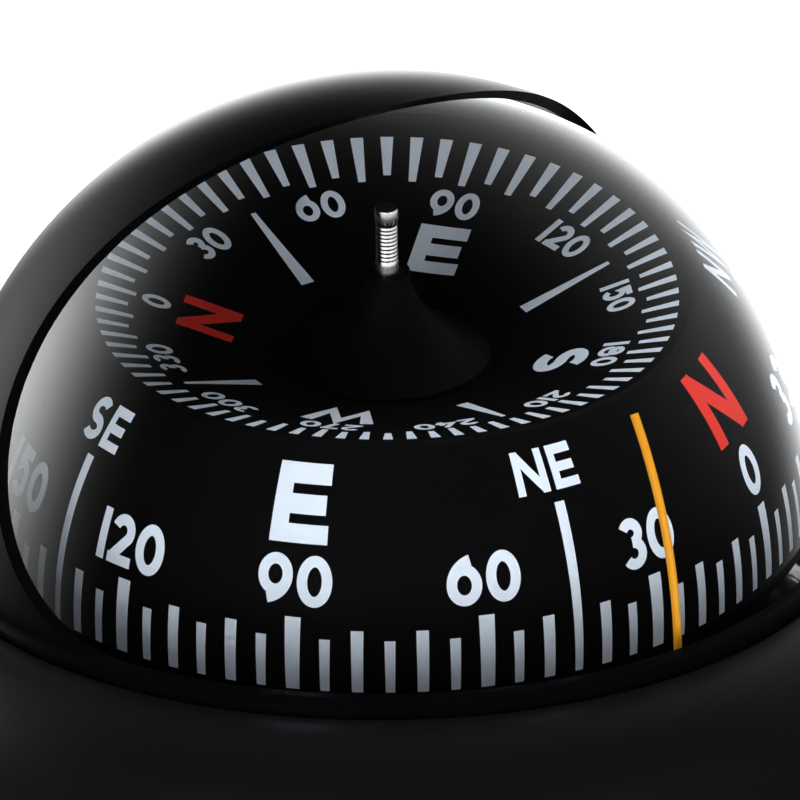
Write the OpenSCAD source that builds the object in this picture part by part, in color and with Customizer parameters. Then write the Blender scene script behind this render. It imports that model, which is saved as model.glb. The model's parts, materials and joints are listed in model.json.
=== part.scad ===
// Handheld bearing compass: a liquid-filled dome with a shading hood,
// a dished card on a two-axis gimbal, and a battery handle to hold it by.
// The lubber line is at -Y, the side that the user looks from.

/* [Dome] */
// Outer radius of the clear dome
dome_r = 40; // [38:0.5:44]
// Wall of the dome
dome_wall = 1.8; // [1.4:0.1:2.2]
// Width of the dome's clamped flange
flange_w = 4.2; // [3.6:0.1:5]
// Thickness of the dome's flange
flange_t = 2; // [1.5:0.1:2.5]
// Distance from the dome's centre down to the top of its flange
flange_drop = 1; // [0.6:0.1:1.5]
// Thickness of the gasket under the flange
gasket_t = 0.6; // [0.4:0.1:1]

/* [Card] */
// Half height of the oval that the skirt is cut from
card_oval = 23.1; // [21:0.1:26]
// Height of that oval's centre above the dome's centre
card_oval_z = 0.4; // [0:0.1:1]
// Height of the card's rim above the dome's centre
card_top = 14.6; // [13:0.1:16]
// Depth of the skirt below the dome's centre
skirt_drop = 3; // [2:0.1:4]
// Wall of the card
card_wall = 0.8; // [0.5:0.1:1.2]
// Width of the rim outside the top scale
rim_w = 1.6; // [1.2:0.1:2]
// Rise of the dished top per unit of radius
dish_slope = 0.27; // [0.1:0.01:0.32]
// Bearing that stands at the lubber line
heading = 38.8; // [0:0.1:360]

/* [Card hub] */
// Radius of the hole in the card for its hub
hub_hole_r = 5; // [4.5:0.1:6]
// Radius of the hub's collar under the card
hub_r = 4; // [3.6:0.1:4.4]
// Radius of the hub's foot on top of the card
hub_foot_r = 6.6; // [6.2:0.1:8]
// Height of the hub's top above the dome's centre
hub_top = 17.8; // [16:0.1:19]
// Radius of the sighting pin
sight_r = 0.8; // [0.5:0.05:1]
// Height of the sighting pin's tip above the dome's centre
sight_top = 23; // [21:0.1:25]
// Depth of the sighting pin in the hub
sight_seat = 5; // [3:0.1:6]
// Radius of the jewel
jewel_r = 1.5; // [1.3:0.1:1.8]
// Thickness of the jewel
jewel_t = 1.6; // [1.2:0.1:2]
// Height of the jewel's top above the dome's centre
jewel_z = 7.8; // [7:0.1:8.4]

/* [Card float and magnets] */
// Distance of the float's edge inside the top scale
float_edge = 3.4; // [2:0.1:5]
// Height of the float's underside above the dome's centre
float_z = 1; // [0:0.1:3]
// Length of each bar magnet
magnet_l = 22; // [16:0.5:26]
// Width of each bar magnet
magnet_w = 4; // [3:0.1:5]
// Height of each bar magnet
magnet_h = 3; // [2:0.1:3.5]
// Distance of each magnet from the card's axis
magnet_x = 7.5; // [6.5:0.1:9]

/* [Gimbal] */
// Distance of the gimbal's axes below the dome's centre
gimbal_drop = 10; // [9:0.1:11]
// Largest tilt about each gimbal axis
tilt_max = 18; // [10:0.5:20]
// Gap between the bowl and the gimbal ring
ring_gap = 3.2; // [2.8:0.1:4]
// Free gap between the tilted skirt and the gimbal ring
swing_gap = 1; // [0.6:0.1:1.4]
// Radial width of the gimbal ring
ring_w = 2.6; // [2:0.1:3]
// Height of the gimbal ring
ring_h = 4; // [3.4:0.1:4.6]
// Radius of the gimbal's pivot pins
pin_r = 1; // [0.8:0.05:1.2]
// Depth of each pivot pin in the piece that it enters
pin_seat = 3; // [2.5:0.1:3.5]
// Radius of the collar on the bowl's pivot pins
collar_r = 2; // [1.6:0.1:2.4]
// Width of the yoke's bar
yoke_w = 6; // [5:0.1:8]
// Height of the yoke's bar
yoke_h = 5; // [4:0.1:5.5]
// Radius of the yoke's hub
yoke_hub_r = 4.5; // [4:0.1:6]
// Radius of the stem that carries the weight
stem_r = 3; // [2.5:0.1:3.5]
// Radius of the pivot post
post_r = 0.9; // [0.7:0.05:1.2]
// Radius of the post's blunt point
post_tip_r = 0.1; // [0.05:0.01:0.12]
// Length of the post's point
post_point = 2; // [1.5:0.1:3]
// Radius of the counterweight
weight_r = 14; // [12:0.1:15]
// Height of the counterweight
weight_h = 7; // [5:0.1:8]
// Distance of the counterweight's underside below the gimbal's axes
weight_drop = 17; // [15:0.1:18]
// Edge chamfer of the counterweight
weight_chamfer = 1.2; // [0.6:0.1:2]

/* [Bowl] */
// Distance from the dome's inner wall in to the bowl's inner wall
bowl_step = 2.7; // [2.2:0.1:3]
// Wall of the bowl
bowl_wall = 2.5; // [2.2:0.1:3]
// Thickness of the bowl's flange
bowl_flange_t = 3; // [2.5:0.1:4]
// Distance from the dome's centre to where the bowl starts to round in
bowl_side = 12; // [11:0.1:14]
// Flat margin of the bowl's floor round the diaphragm
floor_margin = 0.9; // [0.6:0.1:2]
// Radius of the hole for the diaphragm
diaphragm_hole_r = 8; // [6:0.1:8.5]
// Radius of the diaphragm
diaphragm_r = 10.6; // [10:0.1:11]
// Thickness of the diaphragm
diaphragm_t = 0.8; // [0.6:0.1:1.2]
// Thickness of the diaphragm's clamp ring
clamp_t = 1.6; // [1.2:0.1:1.8]
// Radius of the filler plug
plug_r = 2; // [1.5:0.1:2.5]
// Radius of the filler plug's head
plug_head_r = 3.2; // [2.8:0.1:3.4]
// Height of the filler plug's head
plug_head_h = 1.6; // [1.2:0.1:2.4]
// Width across the filler plug's hexagon socket
plug_socket = 2; // [1.5:0.1:2.2]

/* [Lubber line] */
// Thickness of the lubber line
lubber_w = 0.76; // [0.5:0.02:1.2]
// Gap between the lubber line and the dome
lubber_gap = 0.35; // [0.3:0.05:0.6]
// Angle of the lubber line's top end above the level
lubber_top = 32; // [25:1:45]
// Length of the lubber line's foot in the bowl's rim
lubber_foot = 2; // [1.5:0.1:2.4]

/* [Hood] */
// Gap between the hood and the dome
hood_gap = 0.25; // [0.2:0.05:0.5]
// Wall of the hood
hood_wall = 1; // [0.8:0.05:1.4]
// Radius of the scooped front edge
scoop_r = 20.3; // [18:0.1:22]
// Distance of the scoop's axis in front of the dome's axis
scoop_y = 17.1; // [15:0.1:18]
// Height of the scoop's axis above the dome's centre
scoop_z = 23.6; // [22:0.1:26]
// Radial width of the hood's foot ring
hood_ring_w = 1.75; // [1.5:0.05:2.2]
// Height of the hood's foot ring above the dome's centre
hood_ring_h = 3.6; // [3:0.1:4]
// Radial height of the bead that holds the foot ring
bead_w = 0.45; // [0.3:0.05:0.6]
// Height of the bead
bead_h = 1; // [0.8:0.1:1.2]
// Height of the bead's underside above the channel's floor
bead_z = 0.8; // [0.5:0.1:1]

/* [Bezel] */
// Thickness of the bezel's wall outside the flanges
bezel_wall = 5; // [4.8:0.1:6]
// Height of the bezel's rim above the dome's centre
bezel_top = 2.4; // [2.2:0.1:2.8]
// Width of the rim's flat land
bezel_land = 1.1; // [0.8:0.1:1.6]
// Distance of the bezel's underside below the dome's centre
bezel_drop = 8; // [7.6:0.1:9]
// Number of bezel screws
bezel_screws_n = 6; // [4:1:8]
// Radius of a bezel screw
bezel_screw_r = 1.25; // [1:0.05:1.4]
// Radius of a bezel screw's head
bezel_head_r = 2.1; // [1.8:0.05:2.2]
// Height of a bezel screw's head
bezel_head_h = 1.8; // [1.4:0.1:2.4]
// Depth of a bezel screw in the bezel
bezel_screw_seat = 4.5; // [3:0.1:5]

/* [Housing] */
// Wall of the housing
case_wall = 2.5; // [2.2:0.1:3]
// Free gap between the bowl and the housing
case_gap = 4.2; // [4:0.1:4.4]
// Thickness of the housing's top flange
case_flange_t = 4; // [3:0.1:4.5]
// Radius of the grip's core
grip_r = 15; // [14.8:0.1:16]
// Radius of the bore inside the grip
bore_r = 12.6; // [12.4:0.1:12.9]
// Radius of the hollow neck under the cup
neck_r = 22; // [20:0.5:24]
// Radius of the foot
foot_r = 24; // [23.6:0.1:28]
// Height of the foot
foot_h = 7.4; // [7:0.1:9]
// Radius of the hollow above the foot
foot_round = 8; // [5:0.1:8.4]
// Edge chamfer of the foot
foot_chamfer = 0.8; // [0.4:0.1:1]
// Thickness of the ribs that hold the battery tube
rib_t = 2; // [1.5:0.1:3]
// Distance of the housing screws from the axis
case_screw_y = 15.6; // [15.4:0.1:16]
// Distance of the foot's screws from the axis
foot_screw_y = 17.5; // [17:0.1:18]
// Radius of a housing screw
case_screw_r = 1.3; // [1:0.05:1.4]
// Radius of a housing screw's head
case_head_r = 2.6; // [2.2:0.1:2.8]
// Height of a housing screw's head
case_head_h = 2; // [1.5:0.1:2.5]
// Half length of a housing screw's shank
case_screw_l = 9; // [7:0.1:9.5]
// Distance of the neck screws below the cup
neck_screw_drop = 1.8; // [1:0.1:3]
// Radius of the lanyard hole
lanyard_r = 2; // [1.5:0.1:2.2]
// Distance of the lanyard hole from the axis
lanyard_x = 19.2; // [18.8:0.1:20]

/* [Grip sleeve] */
// Wall of the sleeve at the back of the hand
sleeve_wall = 2; // [1.5:0.1:3]
// Distance that the sleeve's finger side stands further out
sleeve_bulge = 3; // [2:0.1:4]
// Height of the sleeve's lower end
sleeve_z = 16.5; // [16:0.1:20]
// Length of the sleeve
sleeve_l = 60; // [52:0.5:60]
// Edge chamfer of the sleeve
sleeve_chamfer = 1.2; // [0.6:0.1:1.4]
// Number of finger hollows
finger_n = 3; // [2:1:4]
// Distance between the finger hollows
finger_pitch = 18; // [12:0.5:18]
// Radius of a finger hollow
finger_r = 12; // [9:0.5:16]
// Depth of a finger hollow
finger_depth = 2.4; // [1:0.1:3]

/* [Light button] */
// Gap between the sleeve and the button's boss
button_gap = 2; // [1.5:0.1:3]
// Radius of the light button
button_r = 5; // [4:0.1:5.4]
// Width of the light button's inner flange
button_flange_w = 1.2; // [0.8:0.1:1.4]
// Thickness of that flange
button_flange_t = 0.8; // [0.6:0.1:0.9]
// Distance that the button stands out of its boss
button_out = 1.5; // [1:0.1:2]
// Travel of the light button
button_travel = 0.6; // [0.4:0.05:0.7]
// Radius of the button's inner stem
button_stem_r = 1.5; // [1:0.1:2]
// Length of the button's inner stem
button_stem_l = 1.1; // [1:0.05:1.2]
// Distance of the boss's outer face from the axis
boss_y = 16.5; // [16.3:0.1:17.5]
// Wall of the boss round the button
boss_wall = 1.8; // [1.6:0.1:2]
// Distance of the button flange's seat from the axis
button_seat_y = 13.2; // [13.1:0.05:13.4]
// Width of the switch
switch_w = 5; // [4:0.1:6]
// Thickness of the switch
switch_t = 1.3; // [1:0.05:1.4]

/* [Batteries] */
// Diameter of a cell
cell_d = 14.5; // [14:0.1:14.8]
// Length of a cell with its nub
cell_l = 50.5; // [50.2:0.1:51]
// Radius of a cell's nub
nub_r = 2.75; // [2.5:0.05:3]
// Height of a cell's nub
nub_h = 1.4; // [1:0.1:1.6]
// Wall of the battery tube
tube_wall = 1.2; // [1:0.1:1.3]
// Thickness of the battery cap
cap_t = 7.8; // [7.4:0.1:8]
// Distance of the cap's face above the floor
cap_recess = 0.4; // [0.3:0.1:1]
// Length of the cap's coin slot
slot_l = 16; // [12:0.5:18]
// Width of the cap's coin slot
slot_w = 2.2; // [1.6:0.1:3]
// Depth of the cap's coin slot
slot_depth = 2; // [1:0.1:2.5]
// Thickness of the sealing ring's cord
seal_d = 1.5; // [1.2:0.1:1.8]
// Height of the sealing ring above the cap's face
seal_z = 5.4; // [4:0.1:6]
// Height of the cap's contact leaf
leaf_h = 2.8; // [2:0.1:4]
// Radius of the cap's contact leaf
leaf_r = 6; // [5:0.1:7]
// Thickness of the contact metal
contact_t = 0.4; // [0.3:0.05:0.5]
// Thickness of the contact holder
holder_t = 3; // [2.6:0.1:4]

/* [Lamp] */
// Distance of the lamp below the dome's centre
lamp_drop = 10.3; // [10.2:0.1:10.6]
// Radius of the lamp window
window_r = 2.5; // [2:0.1:2.7]
// Radius of the window's flange
window_flange_r = 3.4; // [3:0.1:3.5]
// Thickness of the window's flange
window_flange_t = 0.8; // [0.6:0.05:1]
// Radius of the lamp
lamp_r = 1.5; // [1:0.1:1.8]
// Length of the lamp
lamp_l = 1.6; // [1.2:0.1:1.7]
// Width of the lamp's board
board_w = 9; // [8:0.1:10]
// Height of the lamp's board
board_h = 7.4; // [6.8:0.1:7.6]
// Thickness of the lamp's board
board_t = 0.8; // [0.6:0.05:0.9]
// Angle between the two contact strips
strip_apart = 9; // [7:0.5:11]
// Width of each contact strip, as an angle
strip_angle = 4; // [3:0.5:5]

/* [Fits] */
// Radial clearance of the running fits
run_fit = 0.05; // [0.03:0.01:0.08]
// Clearance between pieces that only lie together
seat_fit = 0.1; // [0.05:0.01:0.15]
// Radial clearance of the hood and the cap in their bores
turn_fit = 0.08; // [0.05:0.01:0.1]

/* [Hidden] */
$fn = 96;
FEW = 40;
ARC = 12;
BIG = 400;
E = 0.02;

// Points along an arc about [cx, cz], from one angle to another
function arc(cx, cz, r, a0, a1, n = ARC) =
    [for (i = [0:n]) [cx + r * cos(a0 + (a1 - a0) * i / n), cz + r * sin(a0 + (a1 - a0) * i / n)]];
function skirt_r(z) = card_r * sqrt(1 - pow((z - card_oval_z) / card_oval, 2));
function dish_z(r) = card_top + dish_slope * (r - top_scale_r);

// Head: heights above the dome's centre
dome_in = dome_r - dome_wall;
flange_r = dome_r + flange_w;
flange_z = -flange_drop - flange_t;
bowl_top = flange_z - gasket_t;
bowl_seat = bowl_top - bowl_flange_t;
bowl_in = dome_in - bowl_step;
bowl_out = bowl_in + bowl_wall;
round_r = diaphragm_r + floor_margin;
bowl_round = bowl_in - round_r;
bowl_floor = -bowl_side - bowl_round;
bowl_under = bowl_floor - bowl_wall;
lubber_r = dome_in - lubber_gap - lubber_w / 2;
lubber_low = asin((bowl_top + lubber_w / 2) / lubber_r);

// Gimbal, from the bowl in: a full tilt brings the skirt's widest part down
// beside the ring, so the swing sets the card's radius
ring_out = bowl_in - ring_gap;
ring_in = ring_out - ring_w;
swing_r = ring_in - swing_gap;
card_r = swing_r * cos(tilt_max + asin(ring_h / 2 / swing_r));
top_scale_r = skirt_r(card_top) - rim_w;
float_r = top_scale_r - float_edge;
yoke_l = ring_in - 0.5;
pivot_depth = bowl_wall - 0.8;
dimple_h = jewel_t / 2;
post_top = jewel_z - jewel_t + dimple_h - run_fit;
weight_z = -gimbal_drop - weight_drop;

// Hood and bezel
hood_in = dome_r + hood_gap;
hood_ring_r = hood_in + hood_ring_w;
channel_r = hood_ring_r + turn_fit;
groove_r = channel_r + bead_w;
bezel_in = flange_r + 3 * seat_fit;
bezel_out = bezel_in + bezel_wall;
shoulder_r = bezel_out - channel_r - bezel_land;
bezel_screw_c = (bezel_in + bezel_out) / 2;

// Housing: heights above the floor
case_in = bowl_out + case_gap;
case_out = case_in + case_wall;
cup_in = case_in - round_r;
cup_out = case_out - round_r;
stack_z = cap_recess + cap_t + leaf_h;
stack_l = 2 * cell_l + seat_fit;
plate_z = stack_z + stack_l + seat_fit;
holder_z = plate_z + contact_t;
dome_z = holder_z + holder_t + cup_in + bowl_side;
neck_x = grip_r + neck_r;
neck_dz = sqrt(pow(cup_out + neck_r, 2) - pow(neck_x - round_r, 2));
neck_z = dome_z - bowl_side - neck_dz;
neck_a = atan2(-neck_dz, neck_x - round_r);
tube_in = cell_d / 2 + 2 * seat_fit;
tube_out = tube_in + tube_wall;
tube_z = cap_recess + cap_t + 0.4;
cap_r = bore_r - turn_fit;
screw_z = foot_h / 2;
neck_screw_z = dome_z - bowl_side - cup_out - neck_screw_drop;
boss_r = button_r + button_flange_w + boss_wall;
button_z = sleeve_z + sleeve_l + button_gap + boss_r;
ribs = [sleeve_z + 6, sleeve_z + sleeve_l / 2, button_z - 14];
strip_in = bowl_wall + bowl_round + 0.3;
tab_drop = lamp_drop + window_flange_r + seat_fit;

module half(side) {
    translate([side > 0 ? 0 : -BIG, -BIG / 2, -E])
        cube([BIG, BIG, BIG]);
}

module along_y(y0, y1, z, r, x = 0) {
    translate([x, y0, z])
        rotate([-90, 0, 0])
            cylinder(r = r, h = y1 - y0, $fn = FEW);
}

module along_x(x0, x1, y, z, r) {
    translate([x0, y, z])
        rotate([0, 90, 0])
            cylinder(r = r, h = x1 - x0, $fn = FEW);
}

// Closed profile of the whole housing, from the foot up and back down inside
module case_profile() {
    polygon(concat(
        [[bore_r, 0], [foot_r - foot_chamfer, 0], [foot_r, foot_chamfer]],
        [[foot_r, foot_h - foot_chamfer], [foot_r - foot_chamfer, foot_h]],
        arc(grip_r + foot_round, foot_h + foot_round, foot_round, 270, 180),
        arc(neck_x, neck_z, neck_r, 180, neck_a + 180),
        arc(round_r, dome_z - bowl_side, cup_out, neck_a, 0, 2 * ARC),
        [[bezel_out - foot_chamfer, dome_z - bezel_drop - case_flange_t]],
        [[bezel_out, dome_z - bezel_drop - case_flange_t + foot_chamfer]],
        [[bezel_out, dome_z - bezel_drop], [flange_r, dome_z - bezel_drop]],
        [[flange_r, dome_z + bowl_seat], [case_in, dome_z + bowl_seat]],
        arc(round_r, dome_z - bowl_side, cup_in, 0, -acos((bore_r - round_r) / cup_in), 2 * ARC)
    ));
}

module case_screw_holes(y, z) {
    along_x(-case_screw_l - 1, BIG / 8, y, z, case_screw_r + run_fit);
    along_x(case_screw_l, BIG / 8, y, z, case_head_r + seat_fit);
}

module housing() {
    difference() {
        union() {
            rotate_extrude()
                case_profile();
            for (z = ribs)
                translate([0, 0, z])
                    difference() {
                        cylinder(r = bore_r + E, h = rib_t);
                        translate([0, 0, -E])
                            cylinder(r = tube_out + seat_fit, h = rib_t + 2 * E);
                    }
            difference() {
                along_y(-boss_y, -bore_r + 1, button_z, boss_r);
                cylinder(r = bore_r, h = dome_z);
            }
        }
        along_y(-boss_y - 1, 0, button_z, button_r + turn_fit);
        along_y(-button_seat_y, -bore_r + 2, button_z, button_r + button_flange_w + seat_fit);
        for (s = [-1, 1]) {
            case_screw_holes(s * foot_screw_y, screw_z);
            case_screw_holes(s * case_screw_y, neck_screw_z);
        }
        for (i = [0:bezel_screws_n - 1])
            rotate(i * 360 / bezel_screws_n + 15)
                translate([bezel_screw_c, 0, dome_z - bezel_drop - case_flange_t - 1])
                    cylinder(r = bezel_screw_r + seat_fit, h = case_flange_t + 2, $fn = FEW);
        translate([lanyard_x, 0, -1])
            cylinder(r = lanyard_r, h = foot_h + foot_round, $fn = FEW);
    }
}

module handle_left() {
    color("#1b1c1e")
        intersection() {
            housing();
            half(-1);
        }
}

module handle_right() {
    color("#1e1f21")
        intersection() {
            housing();
            half(1);
        }
}

module case_screw(y, z) {
    along_x(-case_screw_l, case_screw_l + E, y, z, case_screw_r);
    difference() {
        along_x(case_screw_l, case_screw_l + case_head_h, y, z, case_head_r);
        along_x(case_screw_l + case_head_h / 2, BIG / 8, y, z, case_head_r / 2);
    }
}

module handle_screws() {
    color("#8d9093")
        for (s = [-1, 1]) {
            case_screw(s * foot_screw_y, screw_z);
            case_screw(s * case_screw_y, neck_screw_z);
        }
}

module grip_sleeve() {
    outer = grip_r + sleeve_wall;
    color("#141414")
        difference() {
            intersection() {
                translate([0, 0, sleeve_z])
                    linear_extrude(sleeve_l)
                        union() {
                            circle(r = outer);
                            translate([0, sleeve_bulge])
                                circle(r = outer);
                            translate([-outer, 0])
                                square([2 * outer, sleeve_bulge]);
                        }
                translate([0, sleeve_bulge / 2, sleeve_z])
                    rotate_extrude()
                        polygon([[0, 0], [outer + sleeve_bulge - 2 * sleeve_chamfer, 0],
                            [outer + sleeve_bulge, 2 * sleeve_chamfer],
                            [outer + sleeve_bulge, sleeve_l - 2 * sleeve_chamfer],
                            [outer + sleeve_bulge - 2 * sleeve_chamfer, sleeve_l],
                            [0, sleeve_l]]);
            }
            translate([0, 0, sleeve_z - 1])
                cylinder(r = grip_r + run_fit, h = sleeve_l + 2);
            for (i = [0:finger_n - 1])
                translate([0, 0, sleeve_z + sleeve_l / 2 + (i - (finger_n - 1) / 2) * finger_pitch])
                    along_x(-BIG / 8, BIG / 8, outer + sleeve_bulge + finger_r - finger_depth, 0, finger_r);
        }
}

module bezel_ring() {
    color("#232426")
        translate([0, 0, dome_z])
            difference() {
                rotate_extrude()
                    polygon(concat(
                        [[bezel_in, -bezel_drop], [bezel_in, -flange_drop + seat_fit]],
                        [[hood_in, -flange_drop + seat_fit], [hood_in, 0], [channel_r, 0]],
                        [[channel_r, bead_z - seat_fit], [groove_r, bead_z - seat_fit]],
                        [[groove_r, bead_z + bead_h + seat_fit], [channel_r, bead_z + bead_h + seat_fit]],
                        [[channel_r, bezel_top]],
                        arc(channel_r + bezel_land, bezel_top - shoulder_r, shoulder_r, 90, 0),
                        [[bezel_out, -bezel_drop]]
                    ));
                for (i = [0:bezel_screws_n - 1])
                    rotate(i * 360 / bezel_screws_n + 15)
                        translate([bezel_screw_c, 0, -bezel_drop - 1])
                            cylinder(r = bezel_screw_r + run_fit, h = bezel_screw_seat + 1.5, $fn = FEW);
            }
}

module bezel_screws() {
    low = dome_z - bezel_drop - case_flange_t;
    color("#8d9093")
        for (i = [0:bezel_screws_n - 1])
            rotate(i * 360 / bezel_screws_n + 15)
                translate([bezel_screw_c, 0, low])
                    difference() {
                        union() {
                            cylinder(r = bezel_screw_r, h = case_flange_t + bezel_screw_seat, $fn = FEW);
                            translate([0, 0, -bezel_head_h])
                                cylinder(r = bezel_head_r, h = bezel_head_h, $fn = FEW);
                        }
                        translate([0, 0, -bezel_head_h - E])
                            cylinder(r = bezel_head_r / 2, h = bezel_head_h / 2, $fn = 6);
                    }
}

module dome() {
    color("#dfeaea", 0.35)
        translate([0, 0, dome_z])
            difference() {
                union() {
                    sphere(r = dome_r);
                    translate([0, 0, flange_z])
                        cylinder(r = flange_r, h = flange_t);
                    translate([0, 0, flange_z])
                        cylinder(r = dome_r, h = -flange_z);
                }
                sphere(r = dome_in);
                translate([0, 0, flange_z - 1])
                    cylinder(r = dome_in, h = 1 - flange_z);
                translate([0, 0, flange_z - BIG])
                    cylinder(r = BIG, h = BIG);
            }
}

module dome_gasket() {
    color("#2c2c2c")
        translate([0, 0, dome_z + bowl_top])
            difference() {
                cylinder(r = flange_r - 4 * seat_fit, h = gasket_t);
                translate([0, 0, -1])
                    cylinder(r = bowl_out + 8 * seat_fit, h = gasket_t + 2);
            }
}

module bowl() {
    color("#1d1d1e")
        translate([0, 0, dome_z])
            difference() {
                rotate_extrude()
                    polygon(concat(
                        [[bowl_in, bowl_top]],
                        arc(round_r, -bowl_side, bowl_round, 0, -90, 2 * ARC),
                        [[diaphragm_hole_r, bowl_floor], [diaphragm_hole_r, bowl_under]],
                        arc(round_r, -bowl_side, bowl_round + bowl_wall, -90, 0, 2 * ARC),
                        [[bowl_out, bowl_seat], [flange_r, bowl_seat], [flange_r, bowl_top]]
                    ));
                for (s = [-1, 1])
                    along_x(s > 0 ? bowl_in - 1 : -bowl_in - pivot_depth, s > 0 ? bowl_in + pivot_depth : 1 - bowl_in,
                        0, -gimbal_drop, pin_r + run_fit);
                along_y(bowl_in - 1, bowl_out + 1, -gimbal_drop, plug_r + run_fit);
                along_y(-bowl_out - 1, 1 - bowl_in, -lamp_drop, window_r + run_fit);
                translate([0, -lubber_r * cos(lubber_low), bowl_top - lubber_foot - seat_fit])
                    cylinder(r = lubber_w / 2 + run_fit, h = lubber_foot + 1, $fn = FEW);
            }
}

module gimbal_pivots() {
    color("#b9a15c")
        translate([0, 0, dome_z])
            for (s = [0, 180])
                rotate(s) {
                    along_x(ring_in + 0.4, bowl_in + pivot_depth - seat_fit, 0, -gimbal_drop, pin_r);
                    along_x(ring_out + 0.3, bowl_in - seat_fit - 0.1, 0, -gimbal_drop, collar_r);
                }
}

module lubber_line() {
    color("#e09a12")
        translate([0, 0, dome_z]) {
            rotate([90, 0, -90])
                rotate([0, 0, lubber_low])
                    rotate_extrude(angle = lubber_top - lubber_low)
                        translate([lubber_r, 0])
                            circle(r = lubber_w / 2, $fn = FEW);
            translate([0, -lubber_r * cos(lubber_low), bowl_top - lubber_foot])
                cylinder(r = lubber_w / 2, h = lubber_foot + lubber_w, $fn = FEW);
        }
}

module diaphragm() {
    color("#2a2a2a")
        translate([0, 0, dome_z + bowl_under - diaphragm_t])
            rotate_extrude()
                polygon([[0, 0], [diaphragm_r, 0], [diaphragm_r, diaphragm_t],
                    [diaphragm_hole_r - 0.6, diaphragm_t], [diaphragm_hole_r - 1.6, 2 * diaphragm_t],
                    [diaphragm_hole_r - 2.6, 2 * diaphragm_t], [diaphragm_hole_r - 3.6, diaphragm_t],
                    [0, diaphragm_t]]);
}

module diaphragm_clamp() {
    color("#3a3b3d")
        translate([0, 0, dome_z + bowl_under - diaphragm_t - clamp_t])
            difference() {
                cylinder(r = diaphragm_r, h = clamp_t);
                translate([0, 0, -1])
                    cylinder(r = diaphragm_hole_r - 1, h = clamp_t + 2);
            }
}

module filler_plug() {
    color("#a8a9ab")
        translate([0, 0, dome_z])
            difference() {
                union() {
                    along_y(bowl_in + seat_fit, bowl_out + 3 * seat_fit, -gimbal_drop, plug_r);
                    along_y(bowl_out + 2 * seat_fit, bowl_out + plug_head_h, -gimbal_drop, plug_head_r);
                }
                translate([0, bowl_out + plug_head_h / 2, -gimbal_drop])
                    rotate([-90, 0, 0])
                        cylinder(r = plug_socket / sqrt(3), h = plug_head_h, $fn = 6);
            }
}

module lamp_window() {
    color("#e8e0dc", 0.5)
        translate([0, 0, dome_z]) {
            along_y(-bowl_out - 2 * seat_fit, -bowl_in - seat_fit, -lamp_drop, window_r);
            along_y(-bowl_out - window_flange_t - seat_fit, -bowl_out - seat_fit, -lamp_drop, window_flange_r);
        }
}

module lamp() {
    lens_y = -bowl_out - window_flange_t - 2 * seat_fit;
    color("#c41f1f")
        translate([0, 0, dome_z])
            along_y(lens_y - lamp_l, lens_y, -lamp_drop, lamp_r);
}

module lamp_board() {
    board_y = -bowl_out - window_flange_t - 2 * seat_fit - lamp_l;
    color("#1f5a35")
        translate([-board_w / 2, board_y - board_t, dome_z - tab_drop - contact_t - seat_fit])
            cube([board_w, board_t, board_h]);
}

module contact_strips() {
    low = dome_z - bowl_side - cup_in + seat_fit;
    tab_r = bowl_out + window_flange_t + lamp_l;
    tab_top = asin((tab_drop - bowl_side) / strip_in);
    tab_low = asin((tab_drop + contact_t - bowl_side) / (strip_in + contact_t));
    color("#c9a84a")
        for (s = [-1, 1])
            rotate(s * strip_apart / 2 - 90 - strip_angle / 2)
                rotate_extrude(angle = strip_angle)
                    translate([0, dome_z])
                        polygon(concat(
                            [[tab_r, -tab_drop - contact_t], [tab_r, -tab_drop]],
                            arc(round_r, -bowl_side, strip_in, -tab_top, -88, 2 * ARC),
                            [[round_r, -bowl_side - strip_in], [round_r, low - dome_z]],
                            [[round_r + contact_t, low - dome_z]],
                            [[round_r + contact_t, -bowl_side - strip_in - contact_t]],
                            arc(round_r, -bowl_side, strip_in + contact_t, -87, -tab_low, 2 * ARC)
                        ));
}

module contact_holder() {
    color("#d9d4c6")
        translate([0, 0, holder_z])
            cylinder(r = bore_r - seat_fit, h = holder_t);
}

module contact_plate() {
    color("#c9a84a")
        translate([0, 0, plate_z])
            cylinder(r = leaf_r, h = contact_t);
}

module battery_tube() {
    color("#4a4b4d")
        translate([0, 0, tube_z])
            difference() {
                cylinder(r = tube_out, h = plate_z - tube_z);
                translate([0, 0, -1])
                    cylinder(r = tube_in, h = plate_z - tube_z + 2);
            }
}

module cell() {
    color("#3c5f8a") {
        cylinder(d = cell_d, h = cell_l - nub_h);
        cylinder(r = nub_r, h = cell_l, $fn = FEW);
    }
}

module batteries() {
    for (i = [0, 1])
        translate([0, 0, stack_z + i * (cell_l + seat_fit)])
            cell();
}

module light_switch() {
    color("#303236")
        translate([-switch_w / 2, -tube_out - 3 * seat_fit - switch_t, button_z - switch_w / 2])
            cube([switch_w, switch_t, switch_w]);
}

module light_button() {
    flange_out = -button_seat_y + seat_fit;
    color("#b7241c") {
        along_y(-boss_y - button_out, flange_out + E, button_z, button_r);
        along_y(flange_out, flange_out + button_flange_t, button_z, button_r + button_flange_w);
        along_y(flange_out + button_flange_t - E, flange_out + button_flange_t + button_stem_l,
            button_z, button_stem_r);
    }
}

module battery_cap() {
    groove_in = bore_r - seal_d;
    color("#2a2b2d")
        translate([0, 0, cap_recess])
            difference() {
                cylinder(r = cap_r, h = cap_t);
                translate([0, 0, seal_z - seal_d / 2 - seat_fit])
                    difference() {
                        cylinder(r = cap_r + 1, h = seal_d + 2 * seat_fit);
                        translate([0, 0, -1])
                            cylinder(r = groove_in - run_fit, h = seal_d + 3);
                    }
                translate([-slot_l / 2, -slot_w / 2, -1])
                    cube([slot_l, slot_w, slot_depth + 1]);
            }
}

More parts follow.
